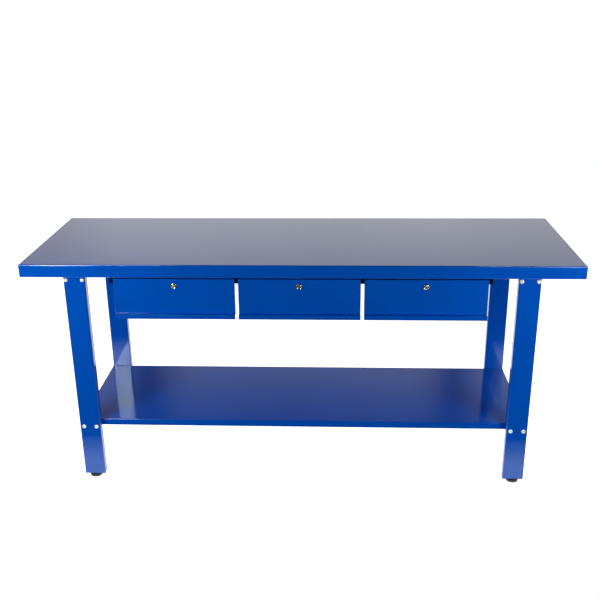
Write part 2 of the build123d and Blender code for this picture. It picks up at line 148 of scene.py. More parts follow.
def drawOut(*steps):
    for step in steps:
        bpy.ops.mesh.extrude_region_move(TRANSFORM_OT_translate={"value": step})


def useModifier(piece, kind, **settings):
    choose(piece)
    modifier = piece.modifiers.new(kind.title(), kind)
    for setting, value in settings.items():
        setattr(modifier, setting, value)
    bpy.ops.object.modifier_apply(modifier=modifier.name)


def thicken(piece, sheet):
    useModifier(piece, "SOLIDIFY", thickness=sheet, offset=-1, use_even_offset=True, use_rim=True)


def softenEdges(piece, width, segments=2, angle=38):
    useModifier(piece, "BEVEL", width=width, segments=segments, limit_method="ANGLE",
                angle_limit=math.radians(angle), use_clamp_overlap=True, miter_outer="MITER_ARC")


def carve(piece, *tools):
    for tool in tools:
        useModifier(piece, "BOOLEAN", operation="DIFFERENCE", solver="EXACT", object=tool)
        bpy.data.objects.remove(tool, do_unlink=True)


def join(name, *pieces):
    choose(*pieces)
    if len(pieces) > 1:
        bpy.ops.object.join()
    joined = bpy.context.active_object
    joined.name = joined.data.name = name
    return joined


def copyTo(piece, name, offset=(0, 0, 0), turn=None):
    # a copy with its own mesh, turned about its own origin first and then moved
    twin = bpy.data.objects.new(name, piece.data.copy())
    twin.data.name = name
    bpy.context.scene.collection.objects.link(twin)
    twin.matrix_world = Matrix.Translation(offset) @ (turn or Matrix.Identity(4))
    choose(twin)
    bpy.ops.object.transform_apply(location=True, rotation=True, scale=True)
    return twin


def discard(piece):
    bpy.data.objects.remove(piece, do_unlink=True)


def turned(name, centre, axis, rings, count=32, bored=False):
    # a turned shape: rings are (distance along the axis, radius), and a bored one ends where it began
    centre, axis = Vector(centre), Vector(axis)
    piece = startDisc(name, rings[0][1], centre + axis * rings[0][0], axis, count)
    openMesh(piece)
    bpy.ops.mesh.select_all(action="SELECT")
    for (fromPlace, fromRadius), (place, radius) in zip(rings, rings[1:]):
        drawOut(axis * (place - fromPlace))
        share = radius / fromRadius
        bpy.ops.transform.resize(value=(share, share, share), center_override=centre + axis * place)
    if bored:
        bpy.ops.mesh.delete(type="ONLY_FACE")
        firstPlace = centre + axis * rings[0][0]
        pick("FACE", lambda f: len(f.verts) == count and (middle(f) - firstPlace).length < 0.01 * mm)
        bpy.ops.mesh.delete(type="ONLY_FACE")
        pick("EDGE", lambda e: e.is_boundary)
        bpy.ops.mesh.remove_doubles(threshold=0.005 * mm)
        pick("EDGE", lambda e: e.is_boundary)
        if bpy.context.edit_object.data.total_edge_sel:
            bpy.ops.mesh.bridge_edge_loops()
    bpy.ops.mesh.select_all(action="SELECT")
    bpy.ops.mesh.remove_doubles(threshold=0.001 * mm)
    bpy.ops.mesh.normals_make_consistent(inside=False)
    closeMesh()
    return piece


def threadRings(start, end, outer, depth, pitch):
    # the rings of a thread's crests and roots between two places
    turns = max(1, int((end - start) / pitch))
    step = (end - start) / turns
    rings = []
    for turn in range(turns):
        base = start + turn * step
        rings += [(base, outer - depth), (base + step * 0.4, outer), (base + step * 0.6, outer)]
    return rings + [(end, outer - depth)]


def looseBoxes(node):
    # the box of each separate solid in a node that groups several
    mesh = bmesh.new()
    mesh.from_mesh(nodes[node].data)
    bmesh.ops.remove_doubles(mesh, verts=mesh.verts, dist=0.001 * mm)
    unseen = set(mesh.verts)
    found = []
    while unseen:
        group = [unseen.pop()]
        for vert in group:
            for edge in vert.link_edges:
                other = edge.other_vert(vert)
                if other in unseen:
                    unseen.remove(other)
                    group.append(other)
        low = Vector([min(v.co[i] for v in group) for i in range(3)])
        high = Vector([max(v.co[i] for v in group) for i in range(3)])
        found.append((low, high))
    mesh.free()
    return sorted(found, key=lambda box: tuple(round(c, 4) for c in box[0]))


def finishPiece(piece, node, materials, smoothAngle=32):
    # smooth shading, finish, the body it rides on, and the node it stands for hidden
    choose(piece)
    bpy.ops.object.shade_smooth_by_angle(angle=math.radians(smoothAngle))
    useModifier(piece, "WEIGHTED_NORMAL", mode="FACE_AREA", weight=80, keep_sharp=True)
    piece.data.materials.clear()
    for material in materials if isinstance(materials, list) else [materials]:
        piece.data.materials.append(material)
    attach(piece, bodyOf[node])
    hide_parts(node)
    return piece


def newGroup(name, inputs, outputs):
    group = bpy.data.node_groups.new(name, "ShaderNodeTree")
    for label, kind, value in inputs:
        socket = group.interface.new_socket(name=label, in_out="INPUT", socket_type=kind)
        if value is not None:
            socket.default_value = value
    for label, kind in outputs:
        group.interface.new_socket(name=label, in_out="OUTPUT", socket_type=kind)
    entry = group.nodes.new("NodeGroupInput")
    leave = group.nodes.new("NodeGroupOutput")
    return group, entry, leave


def addNode(tree, kind, **settings):
    node = tree.nodes.new(kind)
    for setting, value in settings.items():
        setattr(node, setting, value)
    return node


def mixColours(tree, factor, first, second):
    # a Mix node on colours; factor, first and second are sockets or values
    mix = addNode(tree, "ShaderNodeMix", data_type="RGBA")
    for index, source in ((0, factor), (6, first), (7, second)):
        if isinstance(source, bpy.types.NodeSocket):
            tree.links.new(source, mix.inputs[index])
        else:
            mix.inputs[index].default_value = source
    return mix.outputs[2]


def buildSurfaceMottle():
    # slow patches and a fine grain, both 0 to 1 about a half
    group, entry, leave = newGroup(
        "surfaceMottle",
        [("Position", "NodeSocketVector", None), ("Patch Scale", "NodeSocketFloat", 6.0),
         ("Grain Scale", "NodeSocketFloat", 900.0)],
        [("Patches", "NodeSocketFloat"), ("Grain", "NodeSocketFloat")])
    for label, detail, out in (("Patch Scale", 3.0, "Patches"), ("Grain Scale", 2.0, "Grain")):
        noise = addNode(group, "ShaderNodeTexNoise")
        noise.inputs["Detail"].default_value = detail
        group.links.new(entry.outputs["Position"], noise.inputs["Vector"])
        group.links.new(entry.outputs[label], noise.inputs["Scale"])
        group.links.new(noise.outputs["Fac"], leave.inputs[out])
    return group


def buildOrangePeel():
    # the low soft dimples of a sprayed and baked coat
    group, entry, leave = newGroup(
        "orangePeel",
        [("Position", "NodeSocketVector", None), ("Dimple Scale", "NodeSocketFloat", 320.0),
         ("Wave Scale", "NodeSocketFloat", 9.0), ("Wave Share", "NodeSocketFloat", 0.5)],
        [("Height", "NodeSocketFloat")])
    dimples = addNode(group, "ShaderNodeTexNoise")
    dimples.inputs["Detail"].default_value = 1.0
    waves = addNode(group, "ShaderNodeTexNoise")
    waves.inputs["Detail"].default_value = 0.5
    blend = addNode(group, "ShaderNodeMath", operation="MULTIPLY_ADD")
    group.links.new(entry.outputs["Position"], dimples.inputs["Vector"])
    group.links.new(entry.outputs["Dimple Scale"], dimples.inputs["Scale"])
    group.links.new(entry.outputs["Position"], waves.inputs["Vector"])
    group.links.new(entry.outputs["Wave Scale"], waves.inputs["Scale"])
    group.links.new(waves.outputs["Fac"], blend.inputs[0])
    group.links.new(entry.outputs["Wave Share"], blend.inputs[1])
    group.links.new(dimples.outputs["Fac"], blend.inputs[2])
    group.links.new(blend.outputs[0], leave.inputs["Height"])
    return group


groups = {"mottle": buildSurfaceMottle(), "peel": buildOrangePeel()}


def newMaterial(name):
    material = bpy.data.materials.new(name)
    material.use_nodes = True
    tree = material.node_tree
    shader = tree.nodes["Principled BSDF"]
    place = addNode(tree, "ShaderNodeTexCoord").outputs["Object"]
    return material, tree, shader, place


def useGroup(tree, key, place, **values):
    node = addNode(tree, "ShaderNodeGroup", node_tree=groups[key])
    tree.links.new(place, node.inputs["Position"])
    for label, value in values.items():
        node.inputs[label.replace("_", " ")].default_value = value
    return node


def spread(tree, source, low, high):
    # a mask stretched to run between two values
    ranged = addNode(tree, "ShaderNodeMapRange")
    ranged.inputs["From Min"].default_value = 0.3
    ranged.inputs["From Max"].default_value = 0.7
    ranged.inputs["To Min"].default_value = low
    ranged.inputs["To Max"].default_value = high
    tree.links.new(source, ranged.inputs["Value"])
    return ranged.outputs["Result"]


def addBump(tree, shader, height, strength, distance):
    bump = addNode(tree, "ShaderNodeBump")
    bump.inputs["Strength"].default_value = strength
    bump.inputs["Distance"].default_value = distance
    tree.links.new(height, bump.inputs["Height"])
    tree.links.new(bump.outputs["Normal"], shader.inputs["Normal"])


def finishFrom(name, look):
    # one finish: two close colours, a roughness range and a fine relief, from the look's own numbers
    material, tree, shader, place = newMaterial(name)
    mottle = useGroup(tree, "mottle", place, Patch_Scale=look["patch"], Grain_Scale=look["grain"])
    colour = mixColours(tree, spread(tree, mottle.outputs["Patches"], 0, 1), look["dark"], look["light"])
    tree.links.new(colour, shader.inputs["Base Color"])
    rough = spread(tree, mottle.outputs["Patches"], *look["rough"])
    tree.links.new(rough, shader.inputs["Roughness"])
    shader.inputs["Metallic"].default_value = look.get("metal", 0.0)
    shader.inputs["Specular IOR Level"].default_value = look.get("shine", 0.5)
    if "tint" in look:
        shader.inputs["Specular Tint"].default_value = look["tint"]
    if "peel" in look:
        peel = useGroup(tree, "peel", place, Dimple_Scale=look["peel"][0])
        addBump(tree, shader, peel.outputs["Height"], look["peel"][1], look["peel"][2])
    else:
        addBump(tree, shader, mottle.outputs["Grain"], look["relief"][0], look["relief"][1])
    return material


def buildGalvanised(name, look):
    # hot-dip zinc with pale crystal flakes
    material, tree, shader, place = newMaterial(name)
    flakes = addNode(tree, "ShaderNodeTexVoronoi")
    flakes.inputs["Scale"].default_value = look["flake"]
    tree.links.new(place, flakes.inputs["Vector"])
    split = addNode(tree, "ShaderNodeSeparateColor")
    tree.links.new(flakes.outputs["Color"], split.inputs["Color"])
    mottle = useGroup(tree, "mottle", place, Patch_Scale=look["patch"], Grain_Scale=look["grain"])
    colour = mixColours(tree, split.outputs["Red"], look["dark"], look["light"])
    tree.links.new(colour, shader.inputs["Base Color"])
    tree.links.new(spread(tree, split.outputs["Green"], *look["rough"]), shader.inputs["Roughness"])
    shader.inputs["Metallic"].default_value = 1.0
    addBump(tree, shader, mottle.outputs["Grain"], look["relief"][0], look["relief"][1])
    return material


looks = {
    "blue_powder_coat": {"dark": (0.0, 0.074, 0.50, 1), "light": (0.0, 0.080, 0.54, 1), "patch": 5.0,
                         "grain": 700.0, "rough": (0.07, 0.10), "tint": (0.8, 0.9, 1.0, 1),
                         "peel": (300.0, 0.10, 0.0004)},
    "zinc_fastener": {"dark": (0.74, 0.73, 0.70, 1), "light": (0.88, 0.87, 0.85, 1), "patch": 160.0,
                      "grain": 2200.0, "rough": (0.36, 0.46), "metal": 1.0, "relief": (0.12, 0.0002)},
    "lock_chrome": {"dark": (0.30, 0.28, 0.26, 1), "light": (0.40, 0.38, 0.35, 1), "patch": 120.0,
                    "grain": 2600.0, "rough": (0.09, 0.15), "metal": 1.0, "relief": (0.05, 0.0001)},
    "lock_zinc": {"dark": (0.36, 0.31, 0.25, 1), "light": (0.48, 0.43, 0.36, 1), "patch": 140.0,
                  "grain": 1800.0, "rough": (0.34, 0.48), "metal": 1.0, "relief": (0.2, 0.0002)},
    "foot_plastic": {"dark": (0.016, 0.016, 0.017, 1), "light": (0.030, 0.029, 0.028, 1), "patch": 60.0,
                     "grain": 1500.0, "rough": (0.45, 0.6), "relief": (0.3, 0.0003)},
    # black plastic end caps, made darker and duller than black plastic is: partly their own black, partly painted shade
    # for their place under the worktop between the drawer fronts
    "black_cap": {"dark": (0.002, 0.002, 0.003, 1), "light": (0.004, 0.004, 0.005, 1), "patch": 60.0,
                  "grain": 1400.0, "rough": (0.5, 0.65), "relief": (0.25, 0.0003), "shine": 0.02},
    "glide_nylon": {"dark": (0.70, 0.68, 0.62, 1), "light": (0.80, 0.79, 0.74, 1), "patch": 80.0,
                    "grain": 1300.0, "rough": (0.38, 0.5), "relief": (0.15, 0.0002)},
}
finishes = {name: finishFrom(name, look) for name, look in looks.items()}
finishes["runner_zinc"] = buildGalvanised("runner_zinc", {
    "dark": (0.50, 0.51, 0.52, 1), "light": (0.74, 0.75, 0.76, 1), "flake": 140.0, "patch": 20.0,
    "grain": 1600.0, "rough": (0.28, 0.5), "relief": (0.1, 0.0002)})
print("finishes made:", len(finishes))


worktopSizes = {"sheet": 2 * mm, "returnWidth": 17 * mm, "foldRadius": 4 * mm, "edge": 0.35 * mm,
                "slitWidth": 1.2 * mm}


def makeWorktop():
    # a pan of folded sheet, mouth down, with mitred returns
    size = worktopSizes
    low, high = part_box("worktop")
    piece = startBlock("worktop_pan", low, high)
    openMesh(piece)
    pick("FACE", lambda f: f.normal.z < -0.9)
    bpy.ops.mesh.inset(thickness=size["returnWidth"], depth=0)
    bpy.ops.mesh.delete(type="FACE")
    pick("EDGE", lambda e: runsAlong(e, "z") or (
        not e.is_boundary and (runsAlong(e, "x") or runsAlong(e, "y"))))
    roundPicked(size["foldRadius"], 6)
    closeMesh()
    thicken(piece, size["sheet"])
    slits = []
    for endX in (low.x, high.x):
        for endY in (low.y, high.y):
            slits.append(mitreSlit(endX, endY, low.z, size))
    carve(piece, *slits)
    softenEdges(piece, size["edge"])
    return finishPiece(piece, "worktop", finishes["blue_powder_coat"])


def mitreSlit(endX, endY, bottom, size):
    # a thin block along the corner's 45 degree line, through the returns alone
    run = size["returnWidth"]
    wayX, wayY = -math.copysign(1, endX), -math.copysign(1, endY)
    centre = Vector((endX + wayX * run * 0.75, endY + wayY * run * 0.75, bottom + size["sheet"] / 2))
    clearSelection()
    bpy.ops.mesh.primitive_cube_add(
        size=1, location=centre, rotation=(0, 0, math.atan2(wayY, wayX)),
        scale=(run, size["slitWidth"], size["sheet"] * 2))
    return settle("slit_tool")


legSizes = {"wall": 2 * mm, "cornerRadius": 4 * mm, "hole": 9 * mm, "edge": 0.3 * mm}


def makeLegs():
    # rectangular tube with the bolt holes right through, made once and copied to the four corners
    size = legSizes
    low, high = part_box("leg_front_left")
    first = startBlock("leg_tube", low, high)
    openMesh(first)
    pick("FACE", lambda f: abs(f.normal.z) > 0.9)
    bpy.ops.mesh.delete(type="ONLY_FACE")
    pick("EDGE", lambda e: runsAlong(e, "z"))
    roundPicked(size["cornerRadius"], 6)
    closeMesh()
    thicken(first, size["wall"])
    holes = []
    for boltLow, boltHigh in looseBoxes("frame_bolts"):
        centre = (boltLow + boltHigh) / 2
        if centre.y < 0 and centre.x < 0:
            start = (centre.x, low.y - size["wall"], centre.z)
            drill = startDisc("drill_tool", size["hole"] / 2, start, along["y"], 28)
            openMesh(drill)
            bpy.ops.mesh.select_all(action="SELECT")
            drawOut(along["y"] * (high.y - low.y + 2 * size["wall"]))
            bpy.ops.mesh.select_all(action="SELECT")
            bpy.ops.mesh.normals_make_consistent(inside=False)
            closeMesh()
            holes.append(drill)
    carve(first, *holes)
    softenEdges(first, size["edge"])
    for side in sides:
        for end in ends:
            node = f"leg_{side}_{end}"
            leg = copyTo(first, f"{node}_tube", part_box(node)[0] - low)
            finishPiece(leg, node, finishes["blue_powder_coat"])
    discard(first)


def layBead(name, corners, radius, count=40):
    # a weld bead round a rectangle: a rippled bent wire made solid
    clearSelection()
    low, high = Vector(corners[0]), Vector(corners[1])
    bpy.ops.mesh.primitive_plane_add(size=1, location=(low + high) / 2, rotation=(math.pi / 2, 0, 0))
    bpy.context.active_object.scale = (high.x - low.x, high.z - low.z, 1)
    piece = settle(name)
    openMesh(piece)
    bpy.ops.mesh.select_all(action="SELECT")
    bpy.ops.mesh.delete(type="ONLY_FACE")
    bpy.ops.mesh.select_all(action="SELECT")
    bpy.ops.mesh.subdivide(number_cuts=count)
    closeMesh()
    choose(piece)
    bpy.ops.object.convert(target="CURVE")
    piece = bpy.context.active_object
    piece.data.bevel_depth = radius
    piece.data.bevel_resolution = 2
    for spline in piece.data.splines:
        for index, point in enumerate(spline.points):
            point.radius = 1 + 0.16 * math.sin(index * 2.4)
    bpy.ops.object.convert(target="MESH")
    return bpy.context.active_object


railSizes = {"wall": 2 * mm, "plate": 4 * mm, "cornerRadius": 3 * mm, "bead": 2.2 * mm, "edge": 0.4 * mm,
             "hole": 9 * mm, "halfWidth": 20 * mm, "plateDrop": 10 * mm}


def makeEndRails():
    # box tube with a plate welded on each end, where the leg bolts come through
    size = railSizes
    for end in ends:
        node = f"end_rail_{end}"
        low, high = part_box(node)
        centreX = (low.x + high.x) / 2
        tubeLow = Vector((centreX - size["halfWidth"], low.y + size["plate"], low.z + size["plateDrop"]))
        tubeHigh = Vector((centreX + size["halfWidth"], high.y - size["plate"], high.z))
        tube = startBlock("rail_tube", tubeLow, tubeHigh)
        openMesh(tube)
        pick("FACE", lambda f: abs(f.normal.y) > 0.9)
        bpy.ops.mesh.delete(type="ONLY_FACE")
        pick("EDGE", lambda e: runsAlong(e, "y"))
        roundPicked(size["cornerRadius"], 5)
        closeMesh()
        thicken(tube, size["wall"])
        bits = [tube]
        for side, way in sides.items():
            outer = low.y if way < 0 else high.y
            inner = outer - way * size["plate"]
            plate = startBlock("rail_plate", (low.x, min(outer, inner), low.z), (high.x, max(outer, inner), high.z))
            openMesh(plate)
            pick("EDGE", lambda e: runsAlong(e, "y"))
            roundPicked(size["cornerRadius"], 4)
            closeMesh()
            drills = []
            for nutLow, nutHigh in looseBoxes("frame_nuts"):
                centre = (nutLow + nutHigh) / 2
                if centre.y * way > 0 and low.x < centre.x < high.x and centre.z > low.z:
                    drills.append(startBore(centre, along["y"], size["hole"] / 2, 3 * size["plate"]))
            carve(plate, *drills)
            softenEdges(plate, size["edge"])
            bead = layBead(
                "rail_bead",
                ((tubeLow.x, inner - way * size["bead"] * 0.2, tubeLow.z),
                 (tubeHigh.x, inner - way * size["bead"] * 0.2, tubeHigh.z - size["bead"] * 1.3)),
                size["bead"])
            bits += [plate, bead]
        rail = join(f"{node}_welded", *bits)
        finishPiece(rail, node, finishes["blue_powder_coat"])


def startBore(centre, axis, radius, half, count=24):
    # a drill tool that reaches half its length both ways
    tool = startDisc("bore_tool", radius, Vector(centre) - Vector(axis) * half, axis, count)
    openMesh(tool)
    bpy.ops.mesh.select_all(action="SELECT")
    drawOut(Vector(axis) * half * 2)
    bpy.ops.mesh.select_all(action="SELECT")
    bpy.ops.mesh.normals_make_consistent(inside=False)
    closeMesh()
    return tool


ribSizes = {"sheet": 2 * mm, "foldRadius": 3 * mm, "edge": 0.3 * mm, "lip": 20 * mm, "shelfLip": 15 * mm,
            "hole": 6.6 * mm}


def makeHatRib(node, lip, drilled):
    # hat section: lip, web, crown, web, lip, folded from one strip
    size = ribSizes
    low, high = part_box(node)
    lipBottom = high.z - size["sheet"]
    drop = lipBottom - low.z
    piece = startLine(f"{node}_hat", (low.x, low.y, lipBottom), (high.x, low.y, lipBottom))
    bpy.ops.mesh.select_all(action="SELECT")
    drawOut((0, lip, 0), (0, 0, -drop), (0, high.y - low.y - 2 * lip, 0), (0, 0, drop), (0, lip, 0))
    for height, radius in ((low.z, size["foldRadius"]), (lipBottom, size["foldRadius"] - size["sheet"])):
        pick("EDGE", lambda e: runsAlong(e, "x") and not e.is_boundary and near(middle(e).z, height))
        roundPicked(radius, 4)
    closeMesh()
    if min(piece.data.polygons, key=lambda p: p.center.z).normal.z > 0:
        flipMesh(piece)
    thicken(piece, size["sheet"])
    if drilled:
        tools = []
        for boxLow, boxHigh in looseBoxes("rib_cleats"):
            centre = (boxLow + boxHigh) / 2
            if low.y < centre.y < high.y:
                tools.append(startBore((centre.x, centre.y, low.z), along["z"], size["hole"] / 2, 5 * mm))
        carve(piece, *tools)
    softenEdges(piece, size["edge"])
    return finishPiece(piece, node, finishes["blue_powder_coat"])


def flipMesh(piece):
    openMesh(piece)
    bpy.ops.mesh.select_all(action="SELECT")
    bpy.ops.mesh.flip_normals()
    closeMesh()


shelfSizes = {"sheet": 2 * mm, "foldRadius": 3 * mm, "edge": 0.3 * mm, "hole": 9 * mm}


def makeShelf():
    # a shallow pan, mouth down, bolted between the legs through its front and rear flanges
    size = shelfSizes
    low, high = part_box("shelf")
    piece = startBlock("shelf_pan", low, high)
    openMesh(piece)
    pick("FACE", lambda f: f.normal.z < -0.9)
    bpy.ops.mesh.delete(type="ONLY_FACE")
    pick("EDGE", lambda e: not e.is_boundary)
    roundPicked(size["foldRadius"], 5)
    closeMesh()
    thicken(piece, size["sheet"])
    tools = []
    for nutLow, nutHigh in looseBoxes("frame_nuts"):
        centre = (nutLow + nutHigh) / 2
        if centre.z < high.z:
            flange = low.y if centre.y < 0 else high.y
            tools.append(startBore((centre.x, flange, centre.z), along["y"], size["hole"] / 2, 5 * mm))
    carve(piece, *tools)
    softenEdges(piece, size["edge"])
    return finishPiece(piece, "shelf", finishes["blue_powder_coat"])


plateSizes = {"corner": 3 * mm, "edge": 0.4 * mm, "hole": 9 * mm}


def makeBoltPlates():
    # backing plates behind the shelf flanges
    size = plateSizes
    plates = []
    for low, high in looseBoxes("shelf_bolt_plates"):
        plate = startBlock("bolt_plate", low, high)
        openMesh(plate)
        pick("EDGE", lambda e: runsAlong(e, "y"))
        roundPicked(size["corner"], 3)
        closeMesh()
        tools = []
        for nutLow, nutHigh in looseBoxes("frame_nuts"):
            centre = (nutLow + nutHigh) / 2
            if low.x < centre.x < high.x and low.z < centre.z < high.z and centre.y * low.y > 0:
                tools.append(startBore((centre.x, (low.y + high.y) / 2, centre.z), along["y"], size["hole"] / 2,
                                       8 * mm))
        carve(plate, *tools)
        softenEdges(plate, size["edge"])
        plates.append(plate)
    return finishPiece(join("shelf_bolt_plates_set", *plates), "shelf_bolt_plates",
                       finishes[slotOf["shelf_bolt_plates"]])


makeWorktop()
makeLegs()
makeEndRails()
for place in ("front", "middle", "rear"):
    makeHatRib(f"top_rib_{place}", ribSizes["lip"], True)
makeShelf()
for place in sides:
    makeHatRib(f"shelf_rib_{place}", ribSizes["shelfLip"], False)
makeBoltPlates()
print("frame made")


boltSizes = {"headRadius": 8 * mm, "headHeight": 4.6 * mm, "shank": 4 * mm, "threadDepth": 0.55 * mm,
             "pitch": 1.25 * mm, "threadLength": 24 * mm, "socket": 5 * mm, "socketDepth": 2.6 * mm,
             "nutAcross": 13 * mm}


def hexTool(centre, axis, across, length):
    tool = startDisc("hex_tool", across / 2 / math.cos(math.pi / 6), centre, axis, 6)
    openMesh(tool)
    bpy.ops.mesh.select_all(action="SELECT")
    drawOut(Vector(axis) * length)
    bpy.ops.mesh.select_all(action="SELECT")
    bpy.ops.mesh.normals_make_consistent(inside=False)
    closeMesh()
    return tool


def makeFrameBolts():
    # button heads with a hexagon socket, threaded where the nut sits
    size = boltSizes
    boxes = looseBoxes("frame_bolts")
    low, high = boxes[0]
    length = high.y - low.y
    head = size["headHeight"]
    dome = [(head * math.sin(t), size["headRadius"] * (0.62 + 0.38 * math.cos(t)))
            for t in (math.radians(a) for a in (12, 28, 44, 60, 76, 90))]
    rings = [(length, size["shank"] - 1.2 * mm), (length - 1 * mm, size["shank"] - 0.2 * mm)]
    threadStart = length - size["threadLength"]
    thread = threadRings(threadStart, length - 1.2 * mm, size["shank"], size["threadDepth"], size["pitch"])
    rings += list(reversed(thread)) + [(threadStart - 0.5 * mm, size["shank"]), (head, size["shank"]),
                                       (head, size["headRadius"] * 0.97), (head - 0.25 * mm, size["headRadius"])]
    rings += [(head - z, r) for z, r in dome]
    bolt = turned("frame_bolt", (0, 0, 0), (0, 1, 0), rings, 28)
    carve(bolt, hexTool((0, -1 * mm, 0), (0, 1, 0), size["socket"], size["socketDepth"] + 1 * mm))
    softenEdges(bolt, 0.12 * mm, 1, 50)
    bolts = []
    for index, (boltLow, boltHigh) in enumerate(boxes):
        centre = (boltLow + boltHigh) / 2
        twist = Matrix.Rotation(0.7 * index, 4, "Y")
        if centre.y < 0:
            bolts.append(copyTo(bolt, "bolt", (centre.x, boltLow.y, centre.z), twist))
        else:
            facing = Matrix.Rotation(math.pi, 4, "Z") @ twist
            bolts.append(copyTo(bolt, "bolt", (centre.x, boltHigh.y, centre.z), facing))
    discard(bolt)
    return finishPiece(join("frame_bolts_set", *bolts), "frame_bolts", finishes["zinc_fastener"])


def makeNut(across, height, bore, chamfer):
    # a hexagon with its corners turned off at both ends, bored through
    nut = hexTool((0, 0, 0), (0, 1, 0), across, height)
    corner = across / 2 / math.cos(math.pi / 6)
    for place, way in ((0, 1), (height, -1)):
        collar = turned("chamfer_tool", (0, place, 0), (0, way, 0),
                        [(-1 * mm, across / 2 * 0.93), (-1 * mm, corner * 1.3), (chamfer * 1.6, corner * 1.3),
                         (-0.05 * mm, across / 2 * 0.96)], 36, bored=True)
        carve(nut, collar)
    carve(nut, startBore((0, height / 2, 0), along["y"], bore, height))
    softenEdges(nut, 0.15 * mm, 1, 40)
    return nut


def makeFrameNuts():
    size = boltSizes
    low, high = looseBoxes("frame_nuts")[0]
    nut = makeNut(size["nutAcross"], high.y - low.y, size["shank"], 1 * mm)
    nuts = [copyTo(nut, "nut", ((a.x + b.x) / 2, a.y, (a.z + b.z) / 2)) for a, b in looseBoxes("frame_nuts")]
    discard(nut)
    return finishPiece(join("frame_nuts_set", *nuts), "frame_nuts", finishes["zinc_fastener"])


makeFrameBolts()
makeFrameNuts()
print("bolts made")


frontSizes = {"sheet": 1.5 * mm, "foldRadius": 2 * mm, "return": 15 * mm, "lipDepth": 15 * mm,
              "lipHeight": 17 * mm, "hem": 8 * mm, "edge": 0.2 * mm}


def makeDrawerFronts():
    # panel with three returns, then a ledge, a pull lip and a closed hem below
    size = frontSizes
    node = "drawer_2_front"
    low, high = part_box(node)
    panelY = low.y + size["lipDepth"]
    ledge = low.z + size["lipHeight"]
    first = startBlock("drawer_front", (low.x, panelY, ledge), (high.x, panelY + size["return"], high.z))
    openMesh(first)
    pick("FACE", lambda f: f.normal.y > 0.9 or f.normal.z < -0.9)
    bpy.ops.mesh.delete(type="ONLY_FACE")
    pick("EDGE", lambda e: runsAlong(e, "x") and near(middle(e).z, ledge) and near(middle(e).y, panelY))
    drawOut((0, -size["lipDepth"], 0), (0, 0, -size["lipHeight"]), (0, 2 * size["sheet"], 0),
            (0, 0, size["hem"]))
    bpy.ops.mesh.select_all(action="SELECT")
    bpy.ops.mesh.remove_doubles(threshold=0.01 * mm)
    pick("EDGE", lambda e: not e.is_boundary and middle(e).z > low.z + size["sheet"])
    roundPicked(size["foldRadius"], 4)
    pick("EDGE", lambda e: runsAlong(e, "x") and near(middle(e).z, low.z) and not e.is_boundary)
    roundPicked(size["sheet"] * 0.9, 4)
    closeMesh()
    if max(first.data.polygons, key=lambda p: p.area).normal.y > 0:
        flipMesh(first)
    thicken(first, size["sheet"])
    lockLow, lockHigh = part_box("lock_2_barrel")
    barrel = (lockLow + lockHigh) / 2
    carve(first, startBore((barrel.x, panelY, barrel.z), along["y"], 9.5 * mm, 6 * mm, 40))
    softenEdges(first, size["edge"])
    for number in (1, 2, 3):
        node = f"drawer_{number}_front"
        front = copyTo(first, f"{node}_panel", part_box(node)[0] - low)
        finishPiece(front, node, finishes["blue_powder_coat"])
    discard(first)


boxSizes = {"sheet": 1.5 * mm, "foldRadius": 2 * mm, "flange": 17 * mm, "flangeSetback": 16.5 * mm,
            "frontWall": 83 * mm, "rearWall": 98 * mm, "edge": 0.25 * mm}


def makeDrawerBoxes():
    # an open tray: low front and rear walls, and side walls that end in flanges
    size = boxSizes
    low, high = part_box("drawer_2_box")
    bodyLow = Vector((low.x + size["flange"], low.y, low.z))
    bodyHigh = Vector((high.x - size["flange"], high.y, high.z - size["sheet"]))
    first = startBlock("drawer_tray", bodyLow, bodyHigh)
    openMesh(first)
    pick("FACE", lambda f: f.normal.z > 0.9)
    bpy.ops.mesh.delete(type="ONLY_FACE")
    for wayY, height in ((-1, size["frontWall"]), (1, size["rearWall"])):
        pick("FACE", lambda f: f.normal.y * wayY > 0.9)
        bpy.ops.mesh.bisect(plane_co=(0, 0, low.z + height), plane_no=(0, 0, 1))
        pick("FACE", lambda f: f.normal.y * wayY > 0.9 and middle(f).z > low.z + height)
        bpy.ops.mesh.delete(type="ONLY_FACE")
    pick("EDGE", lambda e: e.is_wire)
    bpy.ops.mesh.delete(type="EDGE")
    pick("FACE", lambda f: abs(f.normal.x) > 0.9)
    bpy.ops.mesh.bisect(plane_co=(0, low.y + size["flangeSetback"], 0), plane_no=(0, 1, 0))
    for way in (-1, 1):
        wall = bodyLow.x if way < 0 else bodyHigh.x
        pick("EDGE", lambda e: runsAlong(e, "y") and near(middle(e).z, bodyHigh.z) and near(middle(e).x, wall)
             and middle(e).y > low.y + size["flangeSetback"])
        drawOut((way * size["flange"], 0, 0))
    pick("EDGE", lambda e: not e.is_boundary and (near(middle(e).z, low.z) or runsAlong(e, "z") and (
        near(middle(e).y, low.y) or near(middle(e).y, high.y))))
    roundPicked(size["foldRadius"], 3)
    pick("EDGE", lambda e: not e.is_boundary and runsAlong(e, "y") and near(middle(e).z, bodyHigh.z))
    roundPicked(size["foldRadius"] - size["sheet"], 3)
    bpy.ops.mesh.select_all(action="SELECT")
    bpy.ops.mesh.normals_make_consistent(inside=False)
    closeMesh()
    floor = min(first.data.polygons, key=lambda p: p.center.z)
    if floor.normal.z > 0:
        flipMesh(first)
    thicken(first, size["sheet"])
    softenEdges(first, size["edge"])
    for number in (1, 2, 3):
        node = f"drawer_{number}_box"
        tray = copyTo(first, f"{node}_tray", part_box(node)[0] - low)
        finishPiece(tray, node, finishes["blue_powder_coat"])
    discard(first)


makeDrawerFronts()
makeDrawerBoxes()
print("drawers made")


footSizes = {"padRadius": 24 * mm, "hub": 10 * mm, "bore": 5.05 * mm,
             "boreFloor": 3 * mm}


